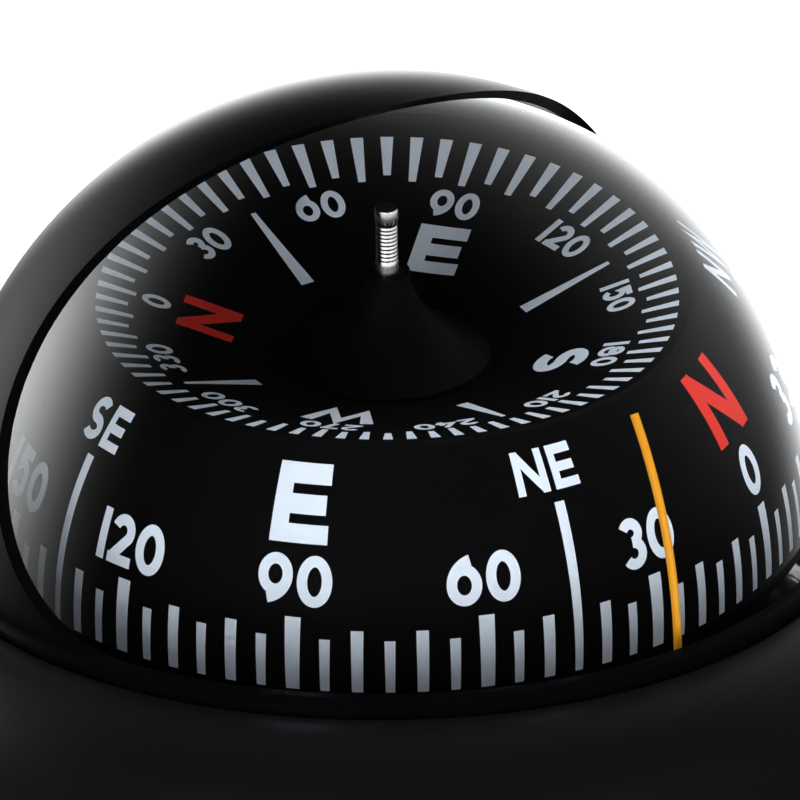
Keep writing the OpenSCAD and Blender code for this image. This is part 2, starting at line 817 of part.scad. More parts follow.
module cap_contact() {
    color("#c9a84a")
        translate([0, 0, cap_recess + cap_t])
            rotate_extrude()
                polygon([[0, leaf_h - contact_t], [nub_r, leaf_h - contact_t], [leaf_r - 2, 0],
                    [leaf_r, 0], [leaf_r, contact_t], [leaf_r - 1.8, contact_t],
                    [nub_r + 0.2, leaf_h - seat_fit], [0, leaf_h - seat_fit]]);
}

module cap_seal() {
    color("#111111")
        translate([0, 0, cap_recess + seal_z])
            rotate_extrude()
                translate([bore_r - seal_d / 2 - run_fit, 0])
                    circle(d = seal_d - run_fit, $fn = FEW);
}

// Thin shell round the dome's far side, scooped out for the reader
module hood() {
    color("#151617")
        translate([0, 0, dome_z]) {
            difference() {
                sphere(r = hood_in + hood_wall);
                sphere(r = hood_in);
                translate([0, 0, bead_z - BIG])
                    cylinder(r = BIG, h = BIG);
                along_x(-BIG / 4, BIG / 4, -scoop_y, scoop_z, scoop_r);
                translate([-BIG / 4, -scoop_y - BIG / 2, bead_z - 1])
                    cube([BIG / 2, BIG / 2, BIG / 2]);
            }
            rotate_extrude()
                polygon([[hood_in, seat_fit], [hood_ring_r, seat_fit], [hood_ring_r, bead_z],
                    [hood_ring_r + bead_w, bead_z], [hood_ring_r + bead_w, bead_z + bead_h],
                    [hood_ring_r, bead_z + bead_h], [hood_ring_r, hood_ring_h - hood_ring_w / 2],
                    [hood_ring_r - hood_ring_w / 2, hood_ring_h], [hood_in, hood_ring_h]]);
        }
}

module gimbal_ring() {
    color("#3a3b3d")
        translate([0, 0, dome_z - gimbal_drop])
            difference() {
                translate([0, 0, -ring_h / 2])
                    difference() {
                        cylinder(r = ring_out, h = ring_h);
                        translate([0, 0, -1])
                            cylinder(r = ring_in, h = ring_h + 2);
                    }
                along_x(-BIG / 8, BIG / 8, 0, 0, pin_r + run_fit);
                along_y(-BIG / 8, BIG / 8, 0, pin_r + run_fit);
            }
}

module ring_pivots() {
    color("#b9a15c")
        translate([0, 0, dome_z - gimbal_drop])
            for (s = [0, 180])
                rotate(s)
                    along_y(ring_in - pin_seat, ring_out - 0.2, 0, pin_r);
}

module yoke() {
    color("#3a3b3d")
        translate([0, 0, dome_z - gimbal_drop])
            difference() {
                union() {
                    translate([-yoke_w / 2, -yoke_l, -yoke_h / 2])
                        cube([yoke_w, 2 * yoke_l, yoke_h]);
                    translate([0, 0, -yoke_h])
                        cylinder(r = yoke_hub_r, h = 1.7 * yoke_h);
                    translate([0, 0, -weight_drop])
                        cylinder(r = stem_r, h = weight_drop);
                }
                for (s = [0, 180])
                    rotate(s) {
                        along_y(yoke_l - pin_seat, yoke_l + 1, 0, pin_r + run_fit);
                        for (i = [0:1])
                            translate([0, yoke_l * (0.4 + 0.24 * i), -yoke_h])
                                cylinder(r = yoke_w / 4, h = 2 * yoke_h, $fn = FEW);
                    }
                translate([0, 0, -1])
                    cylinder(r = post_r + run_fit, h = 2 * yoke_h, $fn = FEW);
            }
}

module pivot_post() {
    foot = -gimbal_drop - 1 + seat_fit;
    color("#9fa2a5")
        translate([0, 0, dome_z])
            rotate_extrude()
                polygon([[0, foot], [post_r, foot], [post_r, post_top - post_point],
                    [post_tip_r, post_top], [0, post_top]]);
}

module counterweight() {
    color("#a98a3c")
        translate([0, 0, dome_z + weight_z])
            rotate_extrude()
                polygon([[stem_r + run_fit, 0], [weight_r - weight_chamfer, 0],
                    [weight_r, weight_chamfer], [weight_r, weight_h - weight_chamfer],
                    [weight_r - weight_chamfer, weight_h], [stem_r + run_fit, weight_h]]);
}

// Dished disc and oval skirt as one moulding
module card() {
    rim_r = skirt_r(card_top);
    inner_z = card_top - 1.5 * card_wall;
    under_r = rim_r - card_wall / 2;
    steps = 20;
    color("#0d0d0e")
        translate([0, 0, dome_z])
            rotate_extrude()
                polygon(concat(
                    [for (i = [0:steps]) let (z = -skirt_drop + (card_top + skirt_drop) * i / steps)
                        [skirt_r(z), z]],
                    [[rim_r - 0.25, card_top + 0.25], [rim_r - 0.6, card_top + 0.35]],
                    [[top_scale_r + 0.7, dish_z(top_scale_r + 0.7)], [hub_hole_r, dish_z(hub_hole_r)]],
                    [[hub_hole_r, dish_z(hub_hole_r) - card_wall], [under_r, dish_z(under_r) - card_wall]],
                    [for (i = [steps:-1:0]) let (z = -skirt_drop + (inner_z + skirt_drop) * i / steps)
                        [skirt_r(z) - card_wall, z]]
                ));
}

module card_float() {
    gap = card_wall + seat_fit / 2;
    color("#e4e2d8")
        translate([0, 0, dome_z])
            rotate_extrude()
                polygon([[hub_hole_r + 2 * seat_fit, float_z], [float_r, float_z],
                    [float_r, dish_z(float_r) - gap],
                    [hub_hole_r + 2 * seat_fit, dish_z(hub_hole_r + 2 * seat_fit) - gap]]);
}

module card_magnets() {
    color("#6d6f73")
        translate([0, 0, dome_z + float_z - magnet_h])
            rotate(heading)
                for (s = [-1, 1])
                    translate([s * magnet_x - magnet_w / 2, -magnet_l / 2, 0])
                        cube([magnet_w, magnet_l, magnet_h]);
}

module card_hub() {
    lip = sight_r + 0.7;
    foot_z = dish_z(hub_foot_r) + seat_fit / 2;
    color("#0d0d0e")
        translate([0, 0, dome_z])
            rotate_extrude()
                polygon(concat(
                    [[0, hub_top - sight_seat], [sight_r + run_fit, hub_top - sight_seat]],
                    [[sight_r + run_fit, hub_top], [lip, hub_top]],
                    [for (i = [1:ARC]) let (t = i / ARC)
                        [lip + (hub_foot_r - lip) * pow(t, 2.2), hub_top + (foot_z + 0.3 - hub_top) * t]],
                    [[hub_foot_r, foot_z], [hub_hole_r - run_fit, dish_z(hub_hole_r) + seat_fit / 2]],
                    [[hub_hole_r - run_fit, dish_z(hub_hole_r) - card_wall]],
                    [[hub_r, dish_z(hub_hole_r) - card_wall - 1], [hub_r, float_z + 0.5]],
                    [[2 * post_r + 0.2, float_z + 0.5], [2 * post_r + 0.2, jewel_z - jewel_t - 0.2]],
                    [[jewel_r + run_fit, jewel_z - jewel_t - 0.2], [jewel_r + run_fit, jewel_z + run_fit]],
                    [[0, jewel_z + run_fit]]
                ));
}

module sight_pin() {
    color("#b9bcc0")
        translate([0, 0, dome_z + hub_top - sight_seat + seat_fit])
            cylinder(r = sight_r, h = sight_top - hub_top + sight_seat - seat_fit, $fn = FEW);
}

module jewel() {
    color("#b03a55")
        translate([0, 0, dome_z + jewel_z - jewel_t])
            rotate_extrude($fn = FEW)
                polygon([[2 * jewel_r / 3, 0], [jewel_r, 0], [jewel_r, jewel_t], [0, jewel_t], [0, dimple_h]]);
}

handle_left();
handle_right();
handle_screws();
grip_sleeve();
bezel_ring();
bezel_screws();
dome();
dome_gasket();
bowl();
gimbal_pivots();
lubber_line();
diaphragm();
diaphragm_clamp();
filler_plug();
lamp_window();
lamp();
lamp_board();
contact_strips();
contact_holder();
contact_plate();
battery_tube();
batteries();
light_switch();
light_button();
battery_cap();
cap_contact();
cap_seal();
hood();
gimbal_ring();
ring_pivots();
yoke();
pivot_post();
counterweight();
card();
card_float();
card_magnets();
card_hub();
sight_pin();
jewel();
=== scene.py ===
"""Handheld bearing compass: finishes, printed card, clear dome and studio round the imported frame."""

from __future__ import annotations

import json
import logging
import math
from dataclasses import dataclass, field
from enum import Enum
from typing import Callable, Sequence

import bmesh
import bpy
import numpy as np
from mathutils import Matrix, Vector

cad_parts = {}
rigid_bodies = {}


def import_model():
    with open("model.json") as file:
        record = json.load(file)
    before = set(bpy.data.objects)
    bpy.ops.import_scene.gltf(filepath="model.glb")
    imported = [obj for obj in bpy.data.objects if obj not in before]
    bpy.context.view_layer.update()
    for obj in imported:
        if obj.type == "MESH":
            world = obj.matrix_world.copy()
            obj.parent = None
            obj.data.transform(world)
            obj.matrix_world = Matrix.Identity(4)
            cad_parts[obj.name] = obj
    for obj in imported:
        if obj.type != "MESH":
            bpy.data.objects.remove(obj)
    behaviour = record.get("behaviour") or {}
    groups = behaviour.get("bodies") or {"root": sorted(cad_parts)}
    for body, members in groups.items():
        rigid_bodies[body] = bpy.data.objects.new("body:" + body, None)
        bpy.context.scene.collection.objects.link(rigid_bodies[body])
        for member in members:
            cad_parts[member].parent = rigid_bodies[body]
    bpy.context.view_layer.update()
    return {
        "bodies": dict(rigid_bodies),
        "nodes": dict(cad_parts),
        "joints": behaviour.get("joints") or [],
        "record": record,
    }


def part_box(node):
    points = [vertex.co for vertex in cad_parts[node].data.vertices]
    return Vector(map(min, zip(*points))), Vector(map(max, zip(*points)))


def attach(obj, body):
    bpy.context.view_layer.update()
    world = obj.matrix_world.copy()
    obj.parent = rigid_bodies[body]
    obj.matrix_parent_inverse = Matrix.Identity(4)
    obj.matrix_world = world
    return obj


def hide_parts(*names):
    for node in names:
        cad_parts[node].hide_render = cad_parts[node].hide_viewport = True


LOG = logging.getLogger("compass")
MM = 0.001
WELD = 1e-7
SOLID_WELD = 1e-6
Array = np.ndarray
Colour = tuple[float, float, float]
Lay = Callable[[Array, float, float], None]


# ---------------------------------------------------------------- shader tools


class Term:
    """A shader socket that Python's own operators work on."""

    def __init__(self, graph: "Graph", socket: bpy.types.NodeSocket) -> None:
        """Keep the graph and the socket.

        Args:
            graph: Graph that new Math nodes go into.
            socket: Output socket that this term stands for.
        """
        self.graph = graph
        self.socket = socket

    def _math(self, operation: str, left: object, right: object) -> "Term":
        """Join two values or terms with one Math node."""
        made = self.graph.node("ShaderNodeMath", {"operation": operation}, {0: left, 1: right})
        return Term(self.graph, made.outputs[0])

    def __add__(self, other: object) -> "Term":
        """Return self + other."""
        return self._math("ADD", self, other)

    def __mul__(self, other: object) -> "Term":
        """Return self * other."""
        return self._math("MULTIPLY", self, other)

    def __sub__(self, other: object) -> "Term":
        """Return self - other."""
        return self._math("SUBTRACT", self, other)

    def __pow__(self, other: object) -> "Term":
        """Return self to a power, with anything under zero taken as zero."""
        return self._math("POWER", self._math("MAXIMUM", self, 0.0), other)

    __radd__ = __add__
    __rmul__ = __mul__


class Graph:
    """The node tree of a material or of the sky."""

    def __init__(self, owner: bpy.types.Material | bpy.types.World, output: str) -> None:
        """Empty the owner's tree.

        Args:
            owner: Material or world.
            output: Type of its output node.
        """
        self.owner = owner
        owner.use_nodes = True
        self.tree = owner.node_tree
        self.tree.nodes.clear()
        self.output = self.node(output, {}, {})

    @classmethod
    def material(cls, name: str) -> "Graph":
        """Return the graph of a new material."""
        return cls(bpy.data.materials.new(name), "ShaderNodeOutputMaterial")

    def node(self, kind: str, settings: dict[str, object], inputs: dict[object, object]) -> bpy.types.Node:
        """Add a node, set its options, then fill its sockets.

        Args:
            kind: Type of the node.
            settings: Options by attribute name.
            inputs: Values, terms or sockets by socket name or number.

        Returns:
            The new node.
        """
        made = self.tree.nodes.new(kind)
        for name, value in settings.items():
            setattr(made, name, value)
        for name, value in inputs.items():
            socket = made.inputs[name]
            if isinstance(value, Term):
                self.tree.links.new(value.socket, socket)
            elif isinstance(value, bpy.types.NodeSocket):
                self.tree.links.new(value, socket)
            else:
                socket.default_value = value
        return made

    def place(self) -> bpy.types.NodeSocket:
        """Return the piece's own coordinates."""
        return self.node("ShaderNodeTexCoord", {}, {}).outputs["Object"]

    def noise(self, scale: float, detail: float = 3.0, stretch: Sequence[float] = (1, 1, 1)) -> Term:
        """Return a noise value between 0 and 1.

        Args:
            scale: Cells in a metre.
            detail: Octaves of finer noise.
            stretch: How far the pattern is squeezed along each axis.

        Returns:
            The noise as a term.
        """
        turned = self.node("ShaderNodeMapping", {}, {"Vector": self.place(), "Scale": tuple(stretch)})
        made = self.node("ShaderNodeTexNoise", {}, {"Vector": turned.outputs[0], "Scale": scale, "Detail": detail})
        return Term(self, made.outputs[0])

    def tint(self, mask: Term, dark: Colour, light: Colour) -> bpy.types.NodeSocket:
        """Return a colour that goes from dark to light with the mask."""
        made = self.node("ShaderNodeMix", {"data_type": "RGBA"}, {"Factor": mask})
        made.inputs[6].default_value = (*dark, 1.0)
        made.inputs[7].default_value = (*light, 1.0)
        return made.outputs[2]

    def bump(self, height: Term, depth: float) -> bpy.types.NodeSocket:
        """Return a normal bent by a height of the given depth in metres."""
        return self.node("ShaderNodeBump", {}, {"Height": height, "Distance": depth}).outputs[0]

    def finish(self, shader: bpy.types.Node) -> bpy.types.Material | bpy.types.World:
        """Join a shader to the output and return the owner."""
        self.tree.links.new(shader.outputs[0], self.output.inputs["Surface"])
        return self.owner


class Surface(Enum):
    """Kinds of opaque finish."""

    MOULDED = "moulded"
    RUBBER = "rubber"
    METAL = "metal"
    PRINT = "print"


@dataclass(frozen=True)
class Finish:
    """An opaque finish with fine grain, wear and gloss."""

    HANDLING = 90.0
    BRUSHED = (1.0, 1.0, 0.06)

    name: str
    kind: Surface
    colour: Colour
    roughness: float = 0.45
    grain: float = 4000.0
    depth: float = 6e-6
    spread: float = 0.12
    coat: float = 0.0
    specular: float = 0.5

    def build(self) -> bpy.types.Material:
        """Return the material.

        The colour and the roughness drift with two noises, a broad one for
        handling and a fine one for the surface's grain, which also bends the
        normal.

        Returns:
            The finished material.
        """
        graph = Graph.material(self.name)
        brushed = self.kind is Surface.METAL
        fine = graph.noise(self.grain, 2.0, self.BRUSHED if brushed else (1.0, 1.0, 1.0))
        broad = graph.noise(self.HANDLING, 3.0)
        mask = fine * 0.35 + broad * 0.65
        dark = tuple(channel * (1.0 - self.spread) for channel in self.colour)
        light = tuple(min(1.0, channel * (1.0 + self.spread)) for channel in self.colour)
        rough = (mask - 0.5) * (0.9 * self.spread) + self.roughness
        shader = graph.node("ShaderNodeBsdfPrincipled", {}, {
            "Base Color": graph.tint(mask, dark, light),
            "Roughness": rough,
            "Metallic": 1.0 if brushed else 0.0,
            "Normal": graph.bump(fine, self.depth),
            "Coat Weight": self.coat,
            "Specular IOR Level": self.specular,
        })
        return graph.finish(shader)


@dataclass(frozen=True)
class Clear:
    """Clear plastic or liquid, which lets the lamps' light through."""

    name: str
    colour: Colour
    ior: float
    roughness: float = 0.0

    def build(self) -> bpy.types.Material:
        """Return the material, see-through to rays that look for a lamp."""
        graph = Graph.material(self.name)
        haze = graph.noise(60.0, 2.0) * 0.0015 + self.roughness
        glass = graph.node("ShaderNodeBsdfPrincipled", {}, {
            "Base Color": (*self.colour, 1.0),
            "Roughness": haze,
            "IOR": self.ior,
            "Transmission Weight": 1.0,
        })
        through = graph.node("ShaderNodeBsdfTransparent", {}, {"Color": (*self.colour, 1.0)})
        path = graph.node("ShaderNodeLightPath", {}, {})
        both = graph.node("ShaderNodeMixShader", {}, {0: path.outputs["Is Shadow Ray"]})
        graph.tree.links.new(glass.outputs[0], both.inputs[1])
        graph.tree.links.new(through.outputs[0], both.inputs[2])
        return graph.finish(both)


class Finishes:
    """Every finish of the compass, each built once."""

    SHEETS = {
        "case": Finish("case_black", Surface.MOULDED, (0.016, 0.0165, 0.018), 0.42, 5200, 5e-6),
        "bezel": Finish("bezel_black", Surface.MOULDED, (0.005, 0.0052, 0.006), 0.34, 6000, 2e-6, specular=0.2),
        "hood": Finish("hood_black", Surface.MOULDED, (0.002, 0.002, 0.0024), 0.24, 6000, 1e-6, specular=0.02),
        "grip": Finish("grip_rubber", Surface.RUBBER, (0.014, 0.014, 0.014), 0.72, 2600, 2.5e-5),
        "seal": Finish("seal_rubber", Surface.RUBBER, (0.012, 0.012, 0.012), 0.6, 3000, 6e-6),
        "card": Finish("card_black", Surface.MOULDED, (0.0015, 0.0015, 0.0018), 0.6, 9000, 1e-6, specular=0.04),
        "white": Finish("ink_white", Surface.PRINT, (0.7, 0.79, 0.9), 0.6, 9000, 1e-6, 0.05, specular=0.2),
        "red": Finish("ink_red", Surface.PRINT, (0.66, 0.028, 0.018), 0.6, 9000, 1e-6, 0.06, specular=0.2),
        "lubber": Finish("lubber_enamel", Surface.PRINT, (0.8, 0.34, 0.008), 0.35, 5000, 2e-6, 0.14),
        "steel": Finish("steel", Surface.METAL, (0.6, 0.6, 0.6), 0.24, 3000, 4e-6),
        "brass": Finish("brass", Surface.METAL, (0.66, 0.47, 0.19), 0.3, 3000, 4e-6),
        "magnet": Finish("magnet", Surface.METAL, (0.2, 0.2, 0.21), 0.5, 3000, 6e-6),
        "foam": Finish("float_foam", Surface.MOULDED, (0.62, 0.6, 0.55), 0.85, 2500, 3e-5),
        "dark": Finish("inner_black", Surface.MOULDED, (0.01, 0.01, 0.011), 0.6, 4000, 5e-6, specular=0.3),
        "frame": Finish("gimbal_grey", Surface.MOULDED, (0.05, 0.05, 0.052), 0.5, 4000, 5e-6),
        "pale": Finish("holder_cream", Surface.MOULDED, (0.6, 0.57, 0.48), 0.5, 4000, 5e-6),
        "board": Finish("board_green", Surface.MOULDED, (0.02, 0.16, 0.06), 0.35, 3000, 6e-6, coat=0.3),
        "lamp": Finish("lamp_red", Surface.MOULDED, (0.6, 0.015, 0.012), 0.15, 3000, 1e-6, coat=0.5),
        "button": Finish("button_red", Surface.RUBBER, (0.42, 0.022, 0.016), 0.55, 2600, 1.2e-5),
        "wrap": Finish("cell_wrap", Surface.MOULDED, (0.03, 0.09, 0.22), 0.3, 3000, 3e-6, coat=0.2),
        "dome": Clear("dome_clear", (1.0, 1.0, 1.0), 1.49),
        "window": Clear("window_clear", (0.95, 0.94, 0.92), 1.49, 0.05),
        "jewel": Clear("jewel_red", (0.8, 0.12, 0.25), 1.76, 0.02),
    }

    def __init__(self) -> None:
        """Start with nothing built."""
        self._built: dict[str, bpy.types.Material] = {}

    def __getitem__(self, name: str) -> bpy.types.Material:
        """Return a finish's material, built at its first use."""
        if name not in self._built:
            self._built[name] = self.SHEETS[name].build()
        return self._built[name]


# ------------------------------------------------------------------ mesh tools


@dataclass
class Patchwork:
    """Grids of points that become one mesh."""

    points: list[Array] = field(default_factory=list)
    quads: list[Array] = field(default_factory=list)
    count: int = 0

    def add(self, grid: Array, wrap: bool = False) -> None:
        """Add a grid of points, with a quad between each four neighbours.

        Args:
            grid: Points as rows by columns by 3.
            wrap: True where the last column joins the first.
        """
        rows, columns = grid.shape[:2]
        index = np.arange(rows * columns).reshape(rows, columns) + self.count
        if wrap:
            index = np.concatenate([index, index[:, :1]], axis=1)
        corners = (index[:-1, :-1], index[:-1, 1:], index[1:, 1:], index[1:, :-1])
        self.quads.append(np.stack([corner.ravel() for corner in corners], axis=1))
        self.points.append(grid.reshape(-1, 3))
        self.count += rows * columns

    def build(self, name: str, material: bpy.types.Material, body: str, merge: float = 0.0) -> bpy.types.Object:
        """Make the object.

        Args:
            name: Name of the piece.
            material: Its finish.
            body: CAD body that it rides on.
            merge: Distance under which points are joined, or 0.

        Returns:
            The new object.
        """
        mesh = bpy.data.meshes.new(name)
        mesh.from_pydata(np.concatenate(self.points), [], np.concatenate(self.quads))
        mesh.update()
        if merge:
            work = bmesh.new()
            work.from_mesh(mesh)
            bmesh.ops.remove_doubles(work, verts=work.verts, dist=merge)
            bmesh.ops.dissolve_degenerate(work, edges=work.edges, dist=merge / 4)
            bmesh.ops.recalc_face_normals(work, faces=work.faces)
            work.to_mesh(mesh)
            work.free()
        return finish_object(name, mesh, material, body)


def moulding(name: str, grid: Array, material: bpy.types.Material, body: str,
             node: str = "") -> bpy.types.Object:
    """Make a closed piece from a grid that wraps round.

    Args:
        name: Name of the piece.
        grid: Points as rows by columns by 3, in metres.
        material: Its finish.
        body: CAD body that it rides on.
        node: CAD node that it stands for, if any.

    Returns:
        The new object.
    """
    patch = Patchwork()
    patch.add(grid, wrap=True)
    piece = patch.build(name, material, body, WELD)
    if node:
        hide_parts(node)
    return piece


def finish_object(name: str, mesh: bpy.types.Mesh, material: bpy.types.Material, body: str,
                  crease: float = 32.0) -> bpy.types.Object:
    """Put a mesh into the scene, smooth but for its sharp edges.

    Args:
        name: Name of the piece.
        mesh: Its mesh.
        material: Its finish.
        body: CAD body that it rides on.
        crease: Angle in degrees above which an edge stays sharp.

    Returns:
        The new object.
    """
    piece = bpy.data.objects.new(name, mesh)
    bpy.context.scene.collection.objects.link(piece)
    mesh.materials.clear()
    mesh.materials.append(material)
    mesh.shade_smooth()
    mesh.set_sharp_from_angle(angle=math.radians(crease))
    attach(piece, body)
    LOG.info("%s: %d faces, rides on %s", name, len(mesh.polygons), body)
    return piece


def arc(centre: Sequence[float], radius: float, start: float, end: float, count: int) -> Array:
    """Return points on a circular arc, centre + radius * (cos, sin), angles in degrees."""
    turn = np.radians(np.linspace(start, end, count))
    return np.stack([centre[0] + radius * np.cos(turn), centre[1] + radius * np.sin(turn)], axis=1)


def revolve(profile: Array, count: int = 256) -> Array:
    """Turn a profile of (radius, height) points about Z.

    Each point goes to (radius cos a, radius sin a, height) for every angle a.

    Args:
        profile: Points of the profile.
        count: Steps round the axis.

    Returns:
        Grid of points, one row to each profile point.
    """
    turn = np.linspace(0.0, 2 * np.pi, count, endpoint=False)
    radius, height = profile[:, :1], profile[:, 1:]
    return np.stack([radius * np.cos(turn), radius * np.sin(turn), height + 0 * turn], axis=2)


def tube(path: Array, radius: float, sides: int = 24) -> Array:
    """Carry a circle along a path that lies in the plane x = constant.

    Each ring is the path's point plus radius * (cos a * X + sin a * n), where
    n is the in-plane normal.

    Args:
        path: Points of the path.
        radius: Radius of the circle.
        sides: Points in each ring.

    Returns:
        Grid of rings.
    """
    along = np.gradient(path, axis=0)
    along /= np.linalg.norm(along, axis=1, keepdims=True)
    across = np.array([1.0, 0.0, 0.0])
    normal = np.cross(along, across)
    turn = np.linspace(0.0, 2 * np.pi, sides, endpoint=False)
    ring = np.cos(turn)[None, :, None] * across + np.sin(turn)[None, :, None] * normal[:, None, :]
    return path[:, None, :] + radius * ring


# ---------------------------------------------------------------------- glyphs


@dataclass(frozen=True)
class Hand:
    """Proportions of a set of drawn figures, as shares of their height."""

    stroke: float
    digit: float = 0.74
    letter: float = 0.95

    def _oval(self, cx: float, cy: float, rx: float, ry: float, start: float, end: float) -> Array:
        """Return points of an oval's arc, angles in degrees."""
        turn = np.radians(np.linspace(start, end, 40))
        return np.stack([cx + rx * np.cos(turn), cy + ry * np.sin(turn)], axis=1)

    def _line(self, *points: tuple[float, float]) -> Array:
        """Return a broken line through some points."""
        return np.array(points, dtype=float)

    def width(self, sign: str) -> float:
        """Return the width of one figure."""
        return {"1": self.stroke * 1.05, "N": self.letter, "S": self.letter * 0.82, "W": self.letter * 1.35,
                "E": self.letter * 0.8, "3": 0.64, "7": 0.62, "2": 0.64, "5": 0.64}.get(sign, self.digit)

    def strokes(self, sign: str) -> list[Array]:
        """Return the centre lines of one figure's strokes, in a box one unit high.

        Args:
            sign: A digit, N, E, S or W.

        Returns:
            One array of points to each stroke.
        """
        half = self.stroke / 2
        wide = self.width(sign)
        low, high, left, right = half, 1 - half, half, wide - half
        mid = (left + right) / 2
        radius = (right - left) / 2
        line = self._line
        if sign == "0":
            return [self._oval(mid, 0.5, radius, 0.5 - half, 0, 360)]
        if sign == "1":
            return [line((mid, 0), (mid, 1))]
        if sign == "2":
            bowl = self._oval(mid, high - radius, radius, radius, 165, -32)
            return [np.concatenate([bowl, line((left + 0.03, low + 0.05))]), line((0, low), (wide, low))]
        if sign == "3":
            upper = (high - 0.53) / 2
            lower = (0.53 - low) / 2
            return [self._oval(mid, high - upper, radius * 0.92, upper, 150, -90),
                    self._oval(mid, low + lower, radius, lower, 90, -150)]
        if sign == "4":
            return [line((wide, 0.28), (left, 0.28), (wide * 0.66, 1)), line((wide * 0.72, 0), (wide * 0.72, 0.6))]
        if sign == "5":
            bowl = self._oval(mid, low + 0.29, radius, 0.29, 122, -150)
            return [line((wide - 0.04, high), (left + 0.06, high)), np.concatenate([line((left + 0.07, 1)), bowl])]
        if sign in "69":
            round_ = 0.3
            sweep = self._oval(right + 0.02, low + round_, 2 * radius + 0.02, high - low - round_, 180, 104)
            paths = [self._oval(mid, low + round_, radius, round_, 0, 360), sweep]
            return paths if sign == "6" else [np.array([wide, 1.0]) - path for path in paths]
        if sign == "7":
            return [line((0, high), (wide, high)), line((right - 0.02, high), (wide * 0.34, 0))]
        if sign == "8":
            upper, lower = 0.2, 0.3 - half * 0.4
            return [self._oval(mid, high - upper, radius * 0.84, upper, 0, 360),
                    self._oval(mid, low + lower, radius, lower, 0, 360)]
        if sign == "E":
            return [line((left, 0), (left, 1)), line((0, low), (wide, low)),
                    line((0, high), (wide, high)), line((0, 0.5), (wide * 0.94, 0.5))]
        if sign == "N":
            slant = line((left, 1 - half * 0.6), (right, half * 0.6))
            return [line((left, 0), (left, 1)), line((right, 0), (right, 1)), slant]
        if sign == "W":
            return [line((left, 1), (wide * 0.29, 0.04), (mid, 0.92), (wide * 0.71, 0.04), (right, 1))]
        upper = (high - 0.5) / 2
        top = self._oval(mid, high - upper, radius * 0.94, upper, 38, 270)
        foot = self._oval(mid, low + (0.5 - low) / 2, radius, (0.5 - low) / 2, 90, -145)
        return [np.concatenate([top, foot])]


def ribbon(path: Array, width: float, across: int = 4, spacing: float = 0.06, sharpest: float = 0.45) -> Array:
    """Give a centre line a width.

    Points along the line are spaced evenly, and each becomes a row of points
    at path + t * normal, with t from minus to plus half the width. A corner
    gets the mean of its two normals, widened so that both sides stay full.

    Args:
        path: Centre line.
        width: Width of the stroke.
        across: Points in each row, less one.
        spacing: Greatest distance between two rows.
        sharpest: Cosine of half the sharpest turn that is widened in full.

    Returns:
        Grid of flat points.
    """
    step = np.diff(path, axis=0)
    length = np.linalg.norm(step, axis=1)
    keep = length > 1e-9
    path = np.concatenate([path[:1], path[1:][keep]])
    step, length = step[keep], length[keep]
    side = np.stack([-step[:, 1], step[:, 0]], axis=1) / length[:, None]
    closed = np.linalg.norm(path[0] - path[-1]) < 1e-6
    before = np.concatenate([side[-1:] if closed else side[:1], side])
    after = np.concatenate([side, side[:1] if closed else side[-1:]])
    normal = before + after
    normal /= np.linalg.norm(normal, axis=1, keepdims=True)
    stretch = 1.0 / np.clip((normal * before).sum(axis=1), sharpest, 1.0)
    place = np.concatenate([[0.0], np.cumsum(length)])
    extra = np.linspace(0.0, place[-1], max(3, int(place[-1] / spacing)))
    where = np.unique(np.concatenate([place, extra]).round(7))
    centre = np.stack([np.interp(where, place, path[:, i]) for i in (0, 1)], axis=1)
    push = np.stack([np.interp(where, place, normal[:, i] * stretch) for i in (0, 1)], axis=1)
    offset = np.linspace(-0.5, 0.5, across + 1) * width
    return centre[:, None, :] + push[:, None, :] * offset[None, :, None]


# ------------------------------------------------------------------- the piece


@dataclass
class Head:
    """Sizes of the head, read from the frame."""

    centre: float
    dome_r: float
    card_r: float
    card_low: float
    lubber_w: float
    lubber_r: float
    heading: float = 38.8

    @classmethod
    def from_frame(cls, frame: dict) -> "Head":
        """Read the head's sizes.

        Args:
            frame: The loaded frame.

        Returns:
            The sizes, in metres.
        """
        centre = joint_place(frame, "hood_swivel")[2]
        low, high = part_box("card")
        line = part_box("lubber_line")
        width = line[1][0] - line[0][0]
        return cls(centre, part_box("dome")[1][2] - centre, (high[0] - low[0]) / 2, low[2] - centre,
                   width, -line[0][1] - width / 2)

    def lift(self, profile: Array) -> Array:
        """Return a profile whose heights are counted from the dome's centre, in millimetres, in metres."""
        return profile * MM + np.array([0.0, self.centre])


def joint_place(frame: dict, name: str) -> list[float]:
    """Return the place of a joint, in metres."""
    joints = frame["record"]["behaviour"]["joints"]
    return next(joint["pos_m"] for joint in joints if joint["name"] == name)


@dataclass
class Dome:
    """The clear dome with the liquid that fills it and the bowl."""

    head: Head
    flange_drop: float = 3.0
    bowl_r: float = 35.3
    bowl_side: float = 12.0
    bowl_round: float = 23.9
    bowl_step: float = 0.4
    floor_r: float = 7.9

    def build(self, finishes: Finishes) -> None:
        """Make one closed clear solid out to the dome's outer skin."""
        radius = self.head.dome_r / MM
        cap = arc((0.0, 0.0), radius, 90, 0, 120)
        cup = arc((self.bowl_r - self.bowl_round, -self.bowl_side), self.bowl_round, 0, -90, 30)
        profile = np.concatenate([
            cap, [(radius, -self.flange_drop), (self.bowl_r, -self.flange_drop - self.bowl_step)], cup,
            [(self.floor_r, -self.bowl_side - self.bowl_round), (0.0, -self.bowl_side - self.bowl_round)]])
        grid = revolve(self.head.lift(profile), 360)[:, ::-1]
        moulding("dome_and_liquid", grid, finishes["dome"], "case", "dome")


